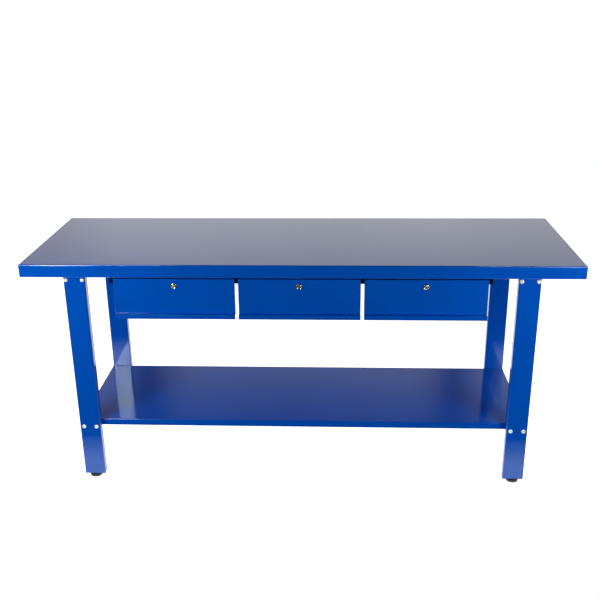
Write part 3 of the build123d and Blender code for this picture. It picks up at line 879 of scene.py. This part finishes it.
def makeFeet():
    # nylon pads with a ribbed grip rim over a sole, all in the one pad finish, on threaded studs
    size = footSizes
    low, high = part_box("foot_pad_front_left")
    r = size["padRadius"]
    rings = [(0, r * 0.80), (0, r - 2.2 * mm), (0.6 * mm, r - 0.9 * mm), (2.0 * mm, r - 0.4 * mm),
             (2.6 * mm, r - 1.0 * mm), (3.0 * mm, r - 0.9 * mm), (3.5 * mm, r), (7.2 * mm, r),
             (8.4 * mm, r - 0.9 * mm), (9.0 * mm, r - 2.4 * mm), (9.0 * mm, size["hub"] + 1.5 * mm),
             (9.6 * mm, size["hub"]), (high.z - 0.5 * mm, size["hub"]), (high.z, size["hub"] - 0.5 * mm),
             (high.z, size["bore"] + 0.4 * mm), (high.z - 0.4 * mm, size["bore"]),
             (size["boreFloor"], size["bore"])]
    pad = turned("foot_pad", (0, 0, 0), (0, 0, 1), rings, 96)
    openMesh(pad)
    pick("FACE", lambda f: abs(f.normal.z) < 0.3 and 3.4 * mm < middle(f).z < 7.3 * mm
         and middle(f).xy.length > r * 0.9 and int(math.degrees(math.atan2(middle(f).y, middle(f).x)) // 3.75) % 4 == 0)
    bpy.ops.mesh.inset(thickness=0.35 * mm, depth=-0.7 * mm, use_individual=True)
    closeMesh()
    studLow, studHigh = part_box("foot_stud_front_left")
    length = studHigh.z - studLow.z
    thread = threadRings(0.8 * mm, length - 0.8 * mm, 5 * mm, 0.6 * mm, 1.5 * mm)
    stud = turned("foot_stud", (0, 0, 0), (0, 0, 1), [(0, 3.4 * mm)] + thread + [(length, 3.4 * mm)], 24)
    for side in sides:
        for end in ends:
            node = f"foot_pad_{side}_{end}"
            centre = (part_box(node)[0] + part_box(node)[1]) / 2
            finishPiece(copyTo(pad, f"{node}_moulding", (centre.x, centre.y, low.z)), node,
                        finishes["foot_plastic"])
            node = f"foot_stud_{side}_{end}"
            finishPiece(copyTo(stud, f"{node}_thread", (centre.x, centre.y, studLow.z)), node,
                        finishes["zinc_fastener"], 25)
    discard(pad)
    discard(stud)


makeFeet()
print("feet made")


lockSizes = {"headRadius": 11 * mm, "headHeight": 3.5 * mm, "barrel": 9.5 * mm, "bore": 6.05 * mm,
             "plug": 6 * mm, "slotWidth": 1.6 * mm, "slotHeight": 8 * mm, "slotDepth": 9 * mm}


def makeLockHeads():
    # a bright rimmed head with a dished face, on a threaded barrel
    size = lockSizes
    low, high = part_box("lock_2_barrel")
    centre = (low + high) / 2
    head, r = size["headHeight"], size["headRadius"]
    length = high.y - low.y
    rings = [(length, size["bore"]), (length, size["barrel"] - 0.8 * mm), (length - 0.8 * mm, size["barrel"] - 0.5 * mm)]
    rings += list(reversed(threadRings(head + 1 * mm, length - 1 * mm, size["barrel"], 0.45 * mm, 1 * mm)))
    rings += [(head, size["barrel"] - 0.5 * mm), (head, r - 0.3 * mm), (head - 0.4 * mm, r), (1.3 * mm, r), (0.5 * mm, r - 0.5 * mm),
              (0, r - 1.3 * mm), (0, r - 2.2 * mm), (0.7 * mm, r - 2.9 * mm), (0.9 * mm, size["bore"] + 0.6 * mm),
              (0.5 * mm, size["bore"] + 0.3 * mm), (0.5 * mm, size["bore"]), (length, size["bore"])]
    model = turned("lock_head", (0, 0, 0), (0, 1, 0), rings, 48, bored=True)
    for number in (1, 2, 3):
        node = f"lock_{number}_barrel"
        boxLow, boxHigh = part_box(node)
        x = (boxLow.x + boxHigh.x) / 2
        finishPiece(copyTo(model, f"{node}_turned", (x, boxLow.y, centre.z)), node, finishes["lock_chrome"], 40)
    discard(model)


def makeLockPlugs():
    # the turning core: a face with a bevelled rim and a key slot in a raised bar
    size = lockSizes
    low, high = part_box("lock_2_plug")
    centreZ = (low.z + high.z) / 2
    r = size["plug"]
    length = high.y - low.y
    square = 3.5 * mm
    squareLength = 2.5 * mm
    rings = [(length - squareLength, 3.2 * mm), (length - squareLength, r - 0.4 * mm), (length - squareLength - 0.4 * mm, r),
             (1.2 * mm, r), (0.6 * mm, r - 0.5 * mm), (0.6 * mm, r - 1.3 * mm), (0, r - 1.7 * mm)]
    plug = turned("lock_core", (0, 0, 0), (0, 1, 0), rings, 40)
    drive = startBlock("drive", (-square, length - squareLength - 0.5 * mm, -square), (square, length, square))
    softenEdges(drive, 0.3 * mm)
    slot = startBlock("slot_tool", (-size["slotWidth"] / 2, -1 * mm, -size["slotHeight"] / 2),
                      (size["slotWidth"] / 2, size["slotDepth"], size["slotHeight"] / 2))
    carve(plug, slot)
    softenEdges(plug, 0.12 * mm, 1, 50)
    model = join("lock_core", plug, drive)
    for number in (1, 2, 3):
        node = f"lock_{number}_plug"
        boxLow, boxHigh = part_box(node)
        x = (boxLow.x + boxHigh.x) / 2
        finishPiece(copyTo(model, f"{node}_core", (x, boxLow.y, centreZ)), node, finishes["lock_zinc"], 40)
    discard(model)


camSizes = {"width": 14 * mm, "reach": 26 * mm, "square": 7 * mm, "tipRadius": 3.5 * mm, "edge": 0.3 * mm,
            "screwHead": 5 * mm, "screwShank": 2.5 * mm, "crossWidth": 1.1 * mm, "crossSpan": 5 * mm,
            "crossDepth": 1.5 * mm, "nutAcross": 24 * mm}


def makeLockBacks():
    # behind each front: the hexagon nut, the cam on the square and the screw that holds it
    size = camSizes
    low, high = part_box("lock_2_cam")
    half = size["width"] / 2
    cam = startBlock("lock_cam", (-half, 0, -half), (size["reach"], high.y - low.y, half))
    openMesh(cam)
    pick("EDGE", lambda e: runsAlong(e, "y") and middle(e).x < 0)
    roundPicked(half * 0.999, 10)
    pick("EDGE", lambda e: runsAlong(e, "y") and near(middle(e).x, size["reach"]))
    roundPicked(size["tipRadius"], 5)
    closeMesh()
    square = size["square"] / 2
    carve(cam, startBlock("square_tool", (-square, -1 * mm, -square), (square, high.y - low.y + 1 * mm, square)))
    softenEdges(cam, size["edge"])
    screwLow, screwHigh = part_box("lock_2_screw")
    tail = high.y - screwLow.y
    head = screwHigh.y - high.y
    rings = [(-tail, size["screwShank"] - 0.8 * mm)]
    rings += threadRings(-tail + 0.8 * mm, -0.5 * mm, size["screwShank"], 0.3 * mm, 0.8 * mm)
    rings += [(0, size["screwShank"]), (0, size["screwHead"] - 0.2 * mm), (0.3 * mm, size["screwHead"]),
              (head * 0.45, size["screwHead"] - 0.2 * mm), (head * 0.8, size["screwHead"] - 1.0 * mm),
              (head, size["screwHead"] - 2.4 * mm)]
    screw = turned("lock_screw", (0, 0, 0), (0, 1, 0), rings, 32)
    span, width = size["crossSpan"] / 2, size["crossWidth"] / 2
    for reachX, reachZ in ((span, width), (width, span)):
        carve(screw, startBlock("cross_tool", (-reachX, head - size["crossDepth"], -reachZ),
                                (reachX, head + 1 * mm, reachZ)))
    softenEdges(screw, 0.1 * mm, 1, 50)
    nutLow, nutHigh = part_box("lock_2_nut")
    nut = makeNut(size["nutAcross"], nutHigh.y - nutLow.y, lockSizes["barrel"], 0.8 * mm)
    for number in (1, 2, 3):
        barrelLow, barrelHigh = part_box(f"lock_{number}_barrel")
        x, z = (barrelLow.x + barrelHigh.x) / 2, (barrelLow.z + barrelHigh.z) / 2
        for label, model, y, finish in (
                ("cam", cam, low.y, "zinc_fastener"), ("screw", screw, high.y, "zinc_fastener"),
                ("nut", nut, nutLow.y, "zinc_fastener")):
            node = f"lock_{number}_{label}"
            finishPiece(copyTo(model, f"{node}_part", (x, y, z)), node, finishes[slotOf[node]])
    for model in (cam, screw, nut):
        discard(model)


strikeSizes = {"sheet": 2 * mm, "foldRadius": 4 * mm, "corner": 5 * mm, "edge": 0.25 * mm}


def makeStrikes():
    # bent straps the cams turn up behind
    size = strikeSizes
    straps = []
    for low, high in looseBoxes("lock_strikes"):
        strap = startLine("strike_strap", (low.x, low.y, low.z), (high.x, low.y, low.z))
        bpy.ops.mesh.select_all(action="SELECT")
        drawOut((0, 0, high.z - low.z), (0, high.y - low.y, 0))
        pick("EDGE", lambda e: runsAlong(e, "x") and not e.is_boundary)
        roundPicked(size["foldRadius"], 5)
        pick("VERT", lambda v: near(v.co.z, low.z) or near(v.co.y, high.y))
        bpy.ops.mesh.bevel(offset=size["corner"], segments=4, affect="VERTICES")
        closeMesh()
        if min(strap.data.polygons, key=lambda p: p.center.y).normal.y > 0:
            flipMesh(strap)
        thicken(strap, size["sheet"])
        softenEdges(strap, size["edge"])
        straps.append(strap)
    return finishPiece(join("lock_strikes_set", *straps), "lock_strikes", finishes[slotOf["lock_strikes"]])


makeLockHeads()
makeLockPlugs()
makeLockBacks()
makeStrikes()
print("locks made")


hangerSizes = {"wall": 1.5 * mm, "cornerRadius": 2.5 * mm, "edge": 0.25 * mm, "capHead": 2.5 * mm,
               "plugInset": 1.7 * mm, "plugTaper": 0.5 * mm, "capRound": 0.9 * mm}


def makeHangers():
    # tubes that run front to back under the ribs, capped at both ends
    size = hangerSizes
    names = ("left_end", "left", "right", "right_end")
    low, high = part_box("drawer_hanger_left")
    first = startBlock("hanger_tube", low, high)
    openMesh(first)
    pick("FACE", lambda f: abs(f.normal.y) > 0.9)
    bpy.ops.mesh.delete(type="ONLY_FACE")
    pick("EDGE", lambda e: runsAlong(e, "y"))
    roundPicked(size["cornerRadius"], 4)
    closeMesh()
    thicken(first, size["wall"])
    softenEdges(first, size["edge"])
    for name in names:
        node = f"drawer_hanger_{name}"
        finishPiece(copyTo(first, f"{node}_tube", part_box(node)[0] - low), node, finishes[slotOf[node]])
    discard(first)
    capLow, capHigh = looseBoxes("hanger_caps")[0]
    head = size["capHead"]
    cap = startBlock("hanger_cap", (capLow.x, capLow.y, capLow.z), (capHigh.x, capLow.y + head, capHigh.z))
    openMesh(cap)
    pick("EDGE", lambda e: runsAlong(e, "y"))
    roundPicked(size["cornerRadius"], 4)
    pick("EDGE", lambda e: not runsAlong(e, "y") and near(middle(e).y, capLow.y))
    roundPicked(size["capRound"], 3)
    pick("FACE", lambda f: f.normal.y > 0.9)
    bpy.ops.mesh.inset(thickness=size["plugInset"], depth=0)
    plug = capHigh.y - capLow.y - head
    drawOut((0, plug * 0.8, 0), (0, plug * 0.2, 0))
    bpy.ops.mesh.inset(thickness=size["plugTaper"], depth=0)
    pick("FACE", lambda f: f.normal.y > 0.9 and near(middle(f).y, capHigh.y) and len(f.verts) > 4)
    bpy.ops.mesh.inset(thickness=1.6 * mm, depth=-plug * 0.7)
    closeMesh()
    caps = []
    for boxLow, boxHigh in looseBoxes("hanger_caps"):
        if boxLow.y < 0:
            caps.append(copyTo(cap, "cap", (boxLow.x - capLow.x, 0, 0)))
        else:
            facing = Matrix.Rotation(math.pi, 4, "Z")
            caps.append(copyTo(cap, "cap", (boxHigh.x + capLow.x, boxHigh.y + capLow.y, 0), facing))
    discard(cap)
    finishPiece(join("hanger_caps_set", *caps), "hanger_caps", finishes["black_cap"])


runnerSizes = {"sheet": 2 * mm, "foldRadius": 3 * mm, "tabReach": 10 * mm, "tabDrop": 7 * mm, "edge": 0.25 * mm}


def makeRunners():
    # pairs of channels, mouths towards the drawer, each with a stop tab across its front end
    size = runnerSizes
    for number in (1, 2, 3):
        node = f"drawer_{number}_runners"
        pair = []
        boxes = looseBoxes(node)
        for (low, high), way in zip(boxes, (-1, 1)):
            web = low.x if way < 0 else high.x
            mouth = high.x if way < 0 else low.x
            channel = startLine("runner_channel", (mouth, low.y, low.z), (mouth, high.y, low.z))
            bpy.ops.mesh.select_all(action="SELECT")
            drawOut((web - mouth, 0, 0), (0, 0, high.z - low.z), (mouth - web, 0, 0))
            pick("EDGE", lambda e: runsAlong(e, "y") and not e.is_boundary)
            roundPicked(size["foldRadius"], 4)
            closeMesh()
            if min(channel.data.polygons, key=lambda p: p.center.z).normal.z > 0:
                flipMesh(channel)
            thicken(channel, size["sheet"])
            roof = high.z - size["sheet"]
            tabLow, tabHigh = sorted((web, web - way * size["tabReach"]))
            tab = startBlock("runner_tab", (tabLow, low.y, roof - size["tabDrop"]),
                             (tabHigh, low.y + size["sheet"], roof + size["sheet"] * 0.5))
            openMesh(tab)
            pick("EDGE", lambda e: runsAlong(e, "y") and middle(e).z < roof - size["tabDrop"] / 2
                 and near(middle(e).x, web - way * size["tabReach"]))
            roundPicked(2 * mm, 4)
            closeMesh()
            pair.append(join("runner_channel", channel, tab))
        runners = join(f"{node}_pair", *pair)
        softenEdges(runners, size["edge"])
        finishPiece(runners, node, finishes["runner_zinc"])


glideSizes = {"slotDrop": 1.7 * mm, "flange": 1.5 * mm, "wall": 2 * mm, "edge": 0.45 * mm, "groove": 2.4 * mm}


def makeGlides():
    # two low pads in front, and two clips wrapped round the flanges behind
    size = glideSizes
    low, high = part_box("drawer_2_glides")
    bits = []
    centreX = (low.x + high.x) / 2
    for boxLow, boxHigh in looseBoxes("drawer_2_glides"):
        glide = startBlock("glide", boxLow, boxHigh)
        way = -1 if (boxLow.x + boxHigh.x) / 2 < centreX else 1
        if boxHigh.z - boxLow.z > 2 * size["slotDrop"]:
            tip = boxLow.x if way < 0 else boxHigh.x
            root = boxHigh.x if way < 0 else boxLow.x
            near0, far0 = sorted((root - way * mm, tip - way * size["wall"]))
            carve(glide, startBlock("slot_tool", (near0, boxLow.y - mm, boxLow.z + size["slotDrop"]),
                                    (far0, boxHigh.y + mm, boxLow.z + size["slotDrop"] + size["flange"])))
            for share in (0.3, 0.7):
                y = boxLow.y + (boxHigh.y - boxLow.y) * share
                carve(glide, startBlock("groove_tool", (tip - 0.6 * mm, y - size["groove"] / 2, boxLow.z - mm),
                                        (tip + 0.6 * mm, y + size["groove"] / 2, boxHigh.z + mm)))
        else:
            openMesh(glide)
            pick("EDGE", lambda e: runsAlong(e, "x") and near(middle(e).z, boxLow.z))
            roundPicked(1.2 * mm, 4)
            closeMesh()
        softenEdges(glide, size["edge"])
        bits.append(glide)
    model = join("drawer_glides", *bits)
    for number in (1, 2, 3):
        node = f"drawer_{number}_glides"
        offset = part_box(node)[0] - low
        finishPiece(copyTo(model, f"{node}_set", offset), node, finishes["glide_nylon"])
    discard(model)


makeHangers()
makeRunners()
makeGlides()
print("hangers, runners and glides made")


cleatSizes = {"sheet": 3 * mm, "foldRadius": 4.5 * mm, "corner": 3 * mm, "hole": 3.3 * mm, "edge": 0.3 * mm,
              "headRadius": 6 * mm, "headHeight": 3.5 * mm, "shank": 3 * mm, "socket": 4 * mm,
              "nutAcross": 10 * mm}


def makeCleats():
    # angle brackets between the ribs' crowns and the end rails
    size = cleatSizes
    cleats = []
    for low, high in looseBoxes("rib_cleats"):
        way = 1 if low.x > 0 else -1
        face = high.x if way > 0 else low.x
        tip = low.x if way > 0 else high.x
        cleat = startLine("rib_cleat", (tip, low.y, high.z), (tip, high.y, high.z))
        bpy.ops.mesh.select_all(action="SELECT")
        drawOut((face - tip, 0, 0), (0, 0, low.z - high.z))
        pick("EDGE", lambda e: runsAlong(e, "y") and not e.is_boundary)
        roundPicked(size["foldRadius"], 5)
        pick("VERT", lambda v: near(v.co.x, tip) or near(v.co.z, low.z))
        bpy.ops.mesh.bevel(offset=size["corner"], segments=4, affect="VERTICES")
        closeMesh()
        if max(cleat.data.polygons, key=lambda p: p.center.z).normal.z < 0:
            flipMesh(cleat)
        thicken(cleat, size["sheet"])
        y = (low.y + high.y) / 2
        middleX, middleZ = (low.x + high.x) / 2, (low.z + high.z) / 2
        carve(cleat, startBore((middleX, y, high.z), along["z"], size["hole"], 6 * mm),
              startBore((face, y, middleZ), along["x"], size["hole"], 6 * mm))
        softenEdges(cleat, size["edge"])
        cleats.append(cleat)
    finishPiece(join("rib_cleats_set", *cleats), "rib_cleats", finishes[slotOf["rib_cleats"]])


def makeCleatFasteners():
    size = cleatSizes
    boxes = looseBoxes("cleat_fasteners")
    lengths = [max(high - low) for low, high in boxes]
    length, nutHeight = max(lengths), min(min(high - low) for low, high in boxes)
    head, r = size["headHeight"], size["headRadius"]
    rings = [(length, size["shank"] - 1 * mm)]
    rings += list(reversed(threadRings(head + 2 * mm, length - 0.8 * mm, size["shank"], 0.4 * mm, 1 * mm)))
    rings += [(head, size["shank"]), (head, r - 0.2 * mm), (head - 0.3 * mm, r), (head * 0.55, r - 0.5 * mm),
              (head * 0.2, r - 1.6 * mm), (0, r - 3 * mm)]
    bolt = turned("cleat_bolt", (0, 0, 0), (0, 1, 0), rings, 24)
    carve(bolt, hexTool((0, -1 * mm, 0), (0, 1, 0), size["socket"], 3 * mm))
    softenEdges(bolt, 0.1 * mm, 1, 50)
    nut = makeNut(size["nutAcross"], nutHeight, size["shank"], 0.7 * mm)
    bits = []
    for low, high in boxes:
        extent, centre = high - low, (low + high) / 2
        isBolt = max(extent) > length * 0.9
        axis = list(extent).index(max(extent) if isBolt else min(extent))
        if axis == 2:
            turn, start = Matrix.Rotation(math.pi / 2, 4, "X"), Vector((centre.x, centre.y, low.z))
        else:
            way = 1 if centre.x > 0 else -1
            turn = Matrix.Rotation(-way * math.pi / 2, 4, "Z")
            start = Vector((low.x if way > 0 else high.x, centre.y, centre.z))
        bits.append(copyTo(bolt if isBolt else nut, "fastener", start, turn))
    discard(bolt)
    discard(nut)
    finishPiece(join("cleat_fasteners_set", *bits), "cleat_fasteners", finishes["zinc_fastener"])


insertSizes = {"corner": 2 * mm, "hole": 5.05 * mm, "threadDepth": 0.5 * mm, "edge": 0.4 * mm}


def makeInserts():
    # threaded plates in the legs' lower ends
    size = insertSizes
    plates = []
    for low, high in looseBoxes("foot_inserts"):
        plate = startBlock("foot_insert", low, high)
        openMesh(plate)
        pick("EDGE", lambda e: runsAlong(e, "z"))
        roundPicked(size["corner"], 4)
        closeMesh()
        centre = (low + high) / 2
        height = high.z - low.z
        r = size["hole"]
        rings = [(-mm, r + 1.8 * mm)] + threadRings(0.8 * mm, height - 0.8 * mm, r + size["threadDepth"], 
                                                   size["threadDepth"], 1.5 * mm) + [(height + mm, r + 1.8 * mm)]
        carve(plate, turned("tap_tool", (centre.x, centre.y, low.z), (0, 0, 1), rings, 28))
        softenEdges(plate, size["edge"], 2, 60)
        plates.append(plate)
    finishPiece(join("foot_inserts_set", *plates), "foot_inserts", finishes[slotOf["foot_inserts"]])


makeCleats()
makeCleatFasteners()
makeInserts()
print("cleats and inserts made")

# the nodes whose shape stays as it is get their finish
for node, piece in nodes.items():
    piece.data.materials.clear()
    piece.data.materials.append(finishes[slotOf[node]])


# the floor's glow strengths (to the camera, painted in reflections, and the faint glow that lights the bench), then the
# world's
studio = {"floorSize": 9.0, "floorFront": -0.58, "fadeEnd": -0.38, "floorSeen": 1.2, "floorMirrored": 1.75,
          "floorLit": 0.12, "worldLow": 1.45, "frontShade": 0.012}


def buildFloor():
    # a pale plate that glows: evenly white to the camera, a painted pool of light in reflections that fades out towards
    # its front edge, and a faint glow that lights the bench
    half = studio["floorSize"] / 2
    clearSelection()
    bpy.ops.mesh.primitive_plane_add(size=1, location=(0, studio["floorFront"] + half / 2, 0))
    bpy.context.active_object.scale = (2 * half, half, 1)
    floor = settle("studio_floor")
    openMesh(floor)
    bpy.ops.mesh.select_all(action="SELECT")
    bpy.ops.mesh.subdivide(number_cuts=3)
    closeMesh()
    material, tree, shader, place = newMaterial("glowing_pale_floor")
    shader.inputs["Base Color"].default_value = (0.8, 0.8, 0.8, 1)
    shader.inputs["Roughness"].default_value = 0.9
    shader.inputs["Specular IOR Level"].default_value = 0.0
    shader.inputs["Emission Color"].default_value = (1, 1, 1, 1)
    split = addNode(tree, "ShaderNodeSeparateXYZ")
    tree.links.new(place, split.inputs[0])
    # painted pool of light: in reflections the floor glows brightest near the bench and fades to nothing towards its
    # front edge
    fade = addNode(tree, "ShaderNodeMapRange", interpolation_type="SMOOTHSTEP")
    fade.inputs["From Min"].default_value = studio["floorFront"]
    fade.inputs["From Max"].default_value = studio["fadeEnd"]
    fade.inputs["To Max"].default_value = studio["floorMirrored"]
    tree.links.new(split.outputs["Y"], fade.inputs["Value"])
    # to other light the floor glows faintly, which lights the bench from below; to the camera it glows evenly white
    ray = addNode(tree, "ShaderNodeLightPath")
    mirrored = chooseValue(tree, ray.outputs["Is Glossy Ray"], studio["floorLit"], fade.outputs["Result"])
    seen = chooseValue(tree, ray.outputs["Is Camera Ray"], mirrored, studio["floorSeen"])
    tree.links.new(seen, shader.inputs["Emission Strength"])
    floor.data.materials.append(material)


def chooseValue(tree, factor, first, second):
    # a Mix node on numbers
    mix = addNode(tree, "ShaderNodeMix", data_type="FLOAT")
    for index, source in ((0, factor), (2, first), (3, second)):
        if isinstance(source, bpy.types.NodeSocket):
            tree.links.new(source, mix.inputs[index])
        else:
            mix.inputs[index].default_value = source
    return mix.outputs[0]


def rampOf(tree, source, stops):
    ramp = addNode(tree, "ShaderNodeValToRGB")
    tree.links.new(source, ramp.inputs["Fac"])
    while len(ramp.color_ramp.elements) < len(stops):
        ramp.color_ramp.elements.new(0.5)
    for element, (place, value) in zip(ramp.color_ramp.elements, stops):
        element.position = place
        element.color = (value, value, value, 1)
    return ramp.outputs["Color"]


def multiply(tree, first, second):
    times = addNode(tree, "ShaderNodeMath", operation="MULTIPLY")
    tree.links.new(first, times.inputs[0])
    if isinstance(second, bpy.types.NodeSocket):
        tree.links.new(second, times.inputs[1])
    else:
        times.inputs[1].default_value = second
    return times.outputs[0]


# the backdrop's brightness by height, and by the way round it low down and higher up, over 60 degrees
backdrop = {
    "height": [(0.0, 1.0), (0.26, 0.95), (0.315, 0.80), (0.40, 0.5), (0.43, 0.40), (0.49, 0.1), (0.6, 0.04),
               (1.0, 0.04)],
    "low": [(0.0, 0.42), (0.17, 0.55), (0.24, 0.72), (0.32, 0.75), (0.5, 0.74), (0.62, 0.76), (0.72, 0.68),
            (1.0, 0.62)],
    "high": [(0.0, 0.70), (0.22, 0.80), (0.262, 0.08), (0.31, 0.72), (0.45, 0.72), (0.58, 0.86), (0.61, 0.8),
             (0.648, 0.15), (0.685, 0.92), (0.8, 0.9), (1.0, 0.7)],
}


def buildWorld():
    # white all round for the camera; for light and reflections a bright low backdrop and a dark front
    world = bpy.data.worlds.new("studio_world")
    bpy.context.scene.world = world
    world.use_nodes = True
    tree = world.node_tree
    tree.nodes.clear()
    out = addNode(tree, "ShaderNodeOutputWorld")
    way = addNode(tree, "ShaderNodeTexCoord").outputs["Generated"]
    split = addNode(tree, "ShaderNodeSeparateXYZ")
    tree.links.new(way, split.inputs[0])
    height = rampOf(tree, split.outputs["Z"], backdrop["height"])
    behind = addNode(tree, "ShaderNodeMapRange", interpolation_type="SMOOTHSTEP")
    behind.inputs["From Min"].default_value = -0.48
    behind.inputs["From Max"].default_value = 0.2
    behind.inputs["To Min"].default_value = studio["frontShade"]
    behind.inputs["To Max"].default_value = 1.0
    tree.links.new(split.outputs["Y"], behind.inputs["Value"])
    angle = addNode(tree, "ShaderNodeMath", operation="ARCTAN2")
    tree.links.new(split.outputs["X"], angle.inputs[0])
    tree.links.new(split.outputs["Y"], angle.inputs[1])
    round60 = addNode(tree, "ShaderNodeMapRange")
    round60.inputs["From Min"].default_value = math.radians(-30)
    round60.inputs["From Max"].default_value = math.radians(30)
    tree.links.new(angle.outputs[0], round60.inputs["Value"])
    upward = addNode(tree, "ShaderNodeMapRange")
    upward.inputs["From Min"].default_value = 0.33
    upward.inputs["From Max"].default_value = 0.38
    tree.links.new(split.outputs["Z"], upward.inputs["Value"])
    bands = chooseValue(tree, upward.outputs["Result"], rampOf(tree, round60.outputs["Result"], backdrop["low"]),
                        rampOf(tree, round60.outputs["Result"], backdrop["high"]))
    strength = multiply(tree, multiply(tree, multiply(tree, height, behind.outputs["Result"]), bands),
                        studio["worldLow"] / 0.75)
    lit = addNode(tree, "ShaderNodeBackground")
    tree.links.new(strength, lit.inputs["Strength"])
    lit.inputs["Color"].default_value = (1, 1, 1, 1)
    plain = addNode(tree, "ShaderNodeBackground")
    plain.inputs["Strength"].default_value = 1.0
    plain.inputs["Color"].default_value = (1, 1, 1, 1)
    ray = addNode(tree, "ShaderNodeLightPath").outputs["Is Camera Ray"]
    mix = addNode(tree, "ShaderNodeMixShader")
    tree.links.new(ray, mix.inputs[0])
    tree.links.new(lit.outputs[0], mix.inputs[1])
    tree.links.new(plain.outputs[0], mix.inputs[2])
    tree.links.new(mix.outputs[0], out.inputs["Surface"])


softboxes = {
    "key_left": {"at": (-1.37, -1.75, 1.22), "aim": (-0.3, 0, 0.7),
                 "size": (0.31, 0.84), "power": 38.0, "use": "gloss"},
    "wash_left": {"at": (-1.42, -1.55, 1.12), "aim": (-0.4, 0, 0.7),
                 "size": (0.7, 0.8), "power": 24.5, "use": "soft"},
    "rim_left": {"at": (-1.2, -1.7, 2.1), "aim": (-0.9, -0.3, 0.9),
                 "size": (0.9, 0.14), "power": 27.0, "use": "gloss"},
    "key_right": {"at": (1.45, -1.3, 1.12), "aim": (0.3, 0, 0.8),
                 "size": (0.66, 1.03), "power": 25.0, "use": "gloss"},
    "wash_right": {"at": (1.45, -1.3, 0.88), "aim": (0.3, 0, 0.7),
                 "size": (0.66, 0.55), "power": 14.6, "use": "soft"},
    "rim_right": {"at": (1.2, -1.7, 2.1), "aim": (0.9, -0.3, 0.9),
                 "size": (0.6, 0.14), "power": 17.0, "use": "gloss"},
}


def buildLights():
    for name, box in softboxes.items():
        light = bpy.data.lights.new(name, "AREA")
        light.shape = "RECTANGLE"
        light.size, light.size_y = box["size"]
        light.energy = box["power"]
        light.color = (0.95, 1.0, 0.88)
        lamp = bpy.data.objects.new(name, light)
        bpy.context.scene.collection.objects.link(lamp)
        lamp.location = box["at"]
        lamp.rotation_euler = (Vector(box["aim"]) - Vector(box["at"])).to_track_quat("-Z", "Y").to_euler()
        lamp.visible_camera = False
        lamp.visible_diffuse = box["use"] == "soft"
        lamp.visible_glossy = box["use"] == "gloss"


view = {"focal": 50.1, "at": (0.13413, -3.09223, 1.81317), "pitch": 0.3606, "yaw": 0.0472, "roll": -0.0117}


def buildCamera():
    camera = bpy.data.objects.new("camera", bpy.data.cameras.new("camera"))
    bpy.context.scene.collection.objects.link(camera)
    camera.data.sensor_width = 36
    camera.data.lens = view["focal"]
    camera.matrix_world = (Matrix.Translation(view["at"]) @ Matrix.Rotation(view["yaw"], 4, "Z")
                           @ Matrix.Rotation(math.pi / 2 - view["pitch"], 4, "X")
                           @ Matrix.Rotation(view["roll"], 4, "Z"))
    bpy.context.scene.camera = camera


buildFloor()
buildWorld()
buildLights()
buildCamera()
bpy.context.scene.view_settings.view_transform = "Standard"
print("studio made")
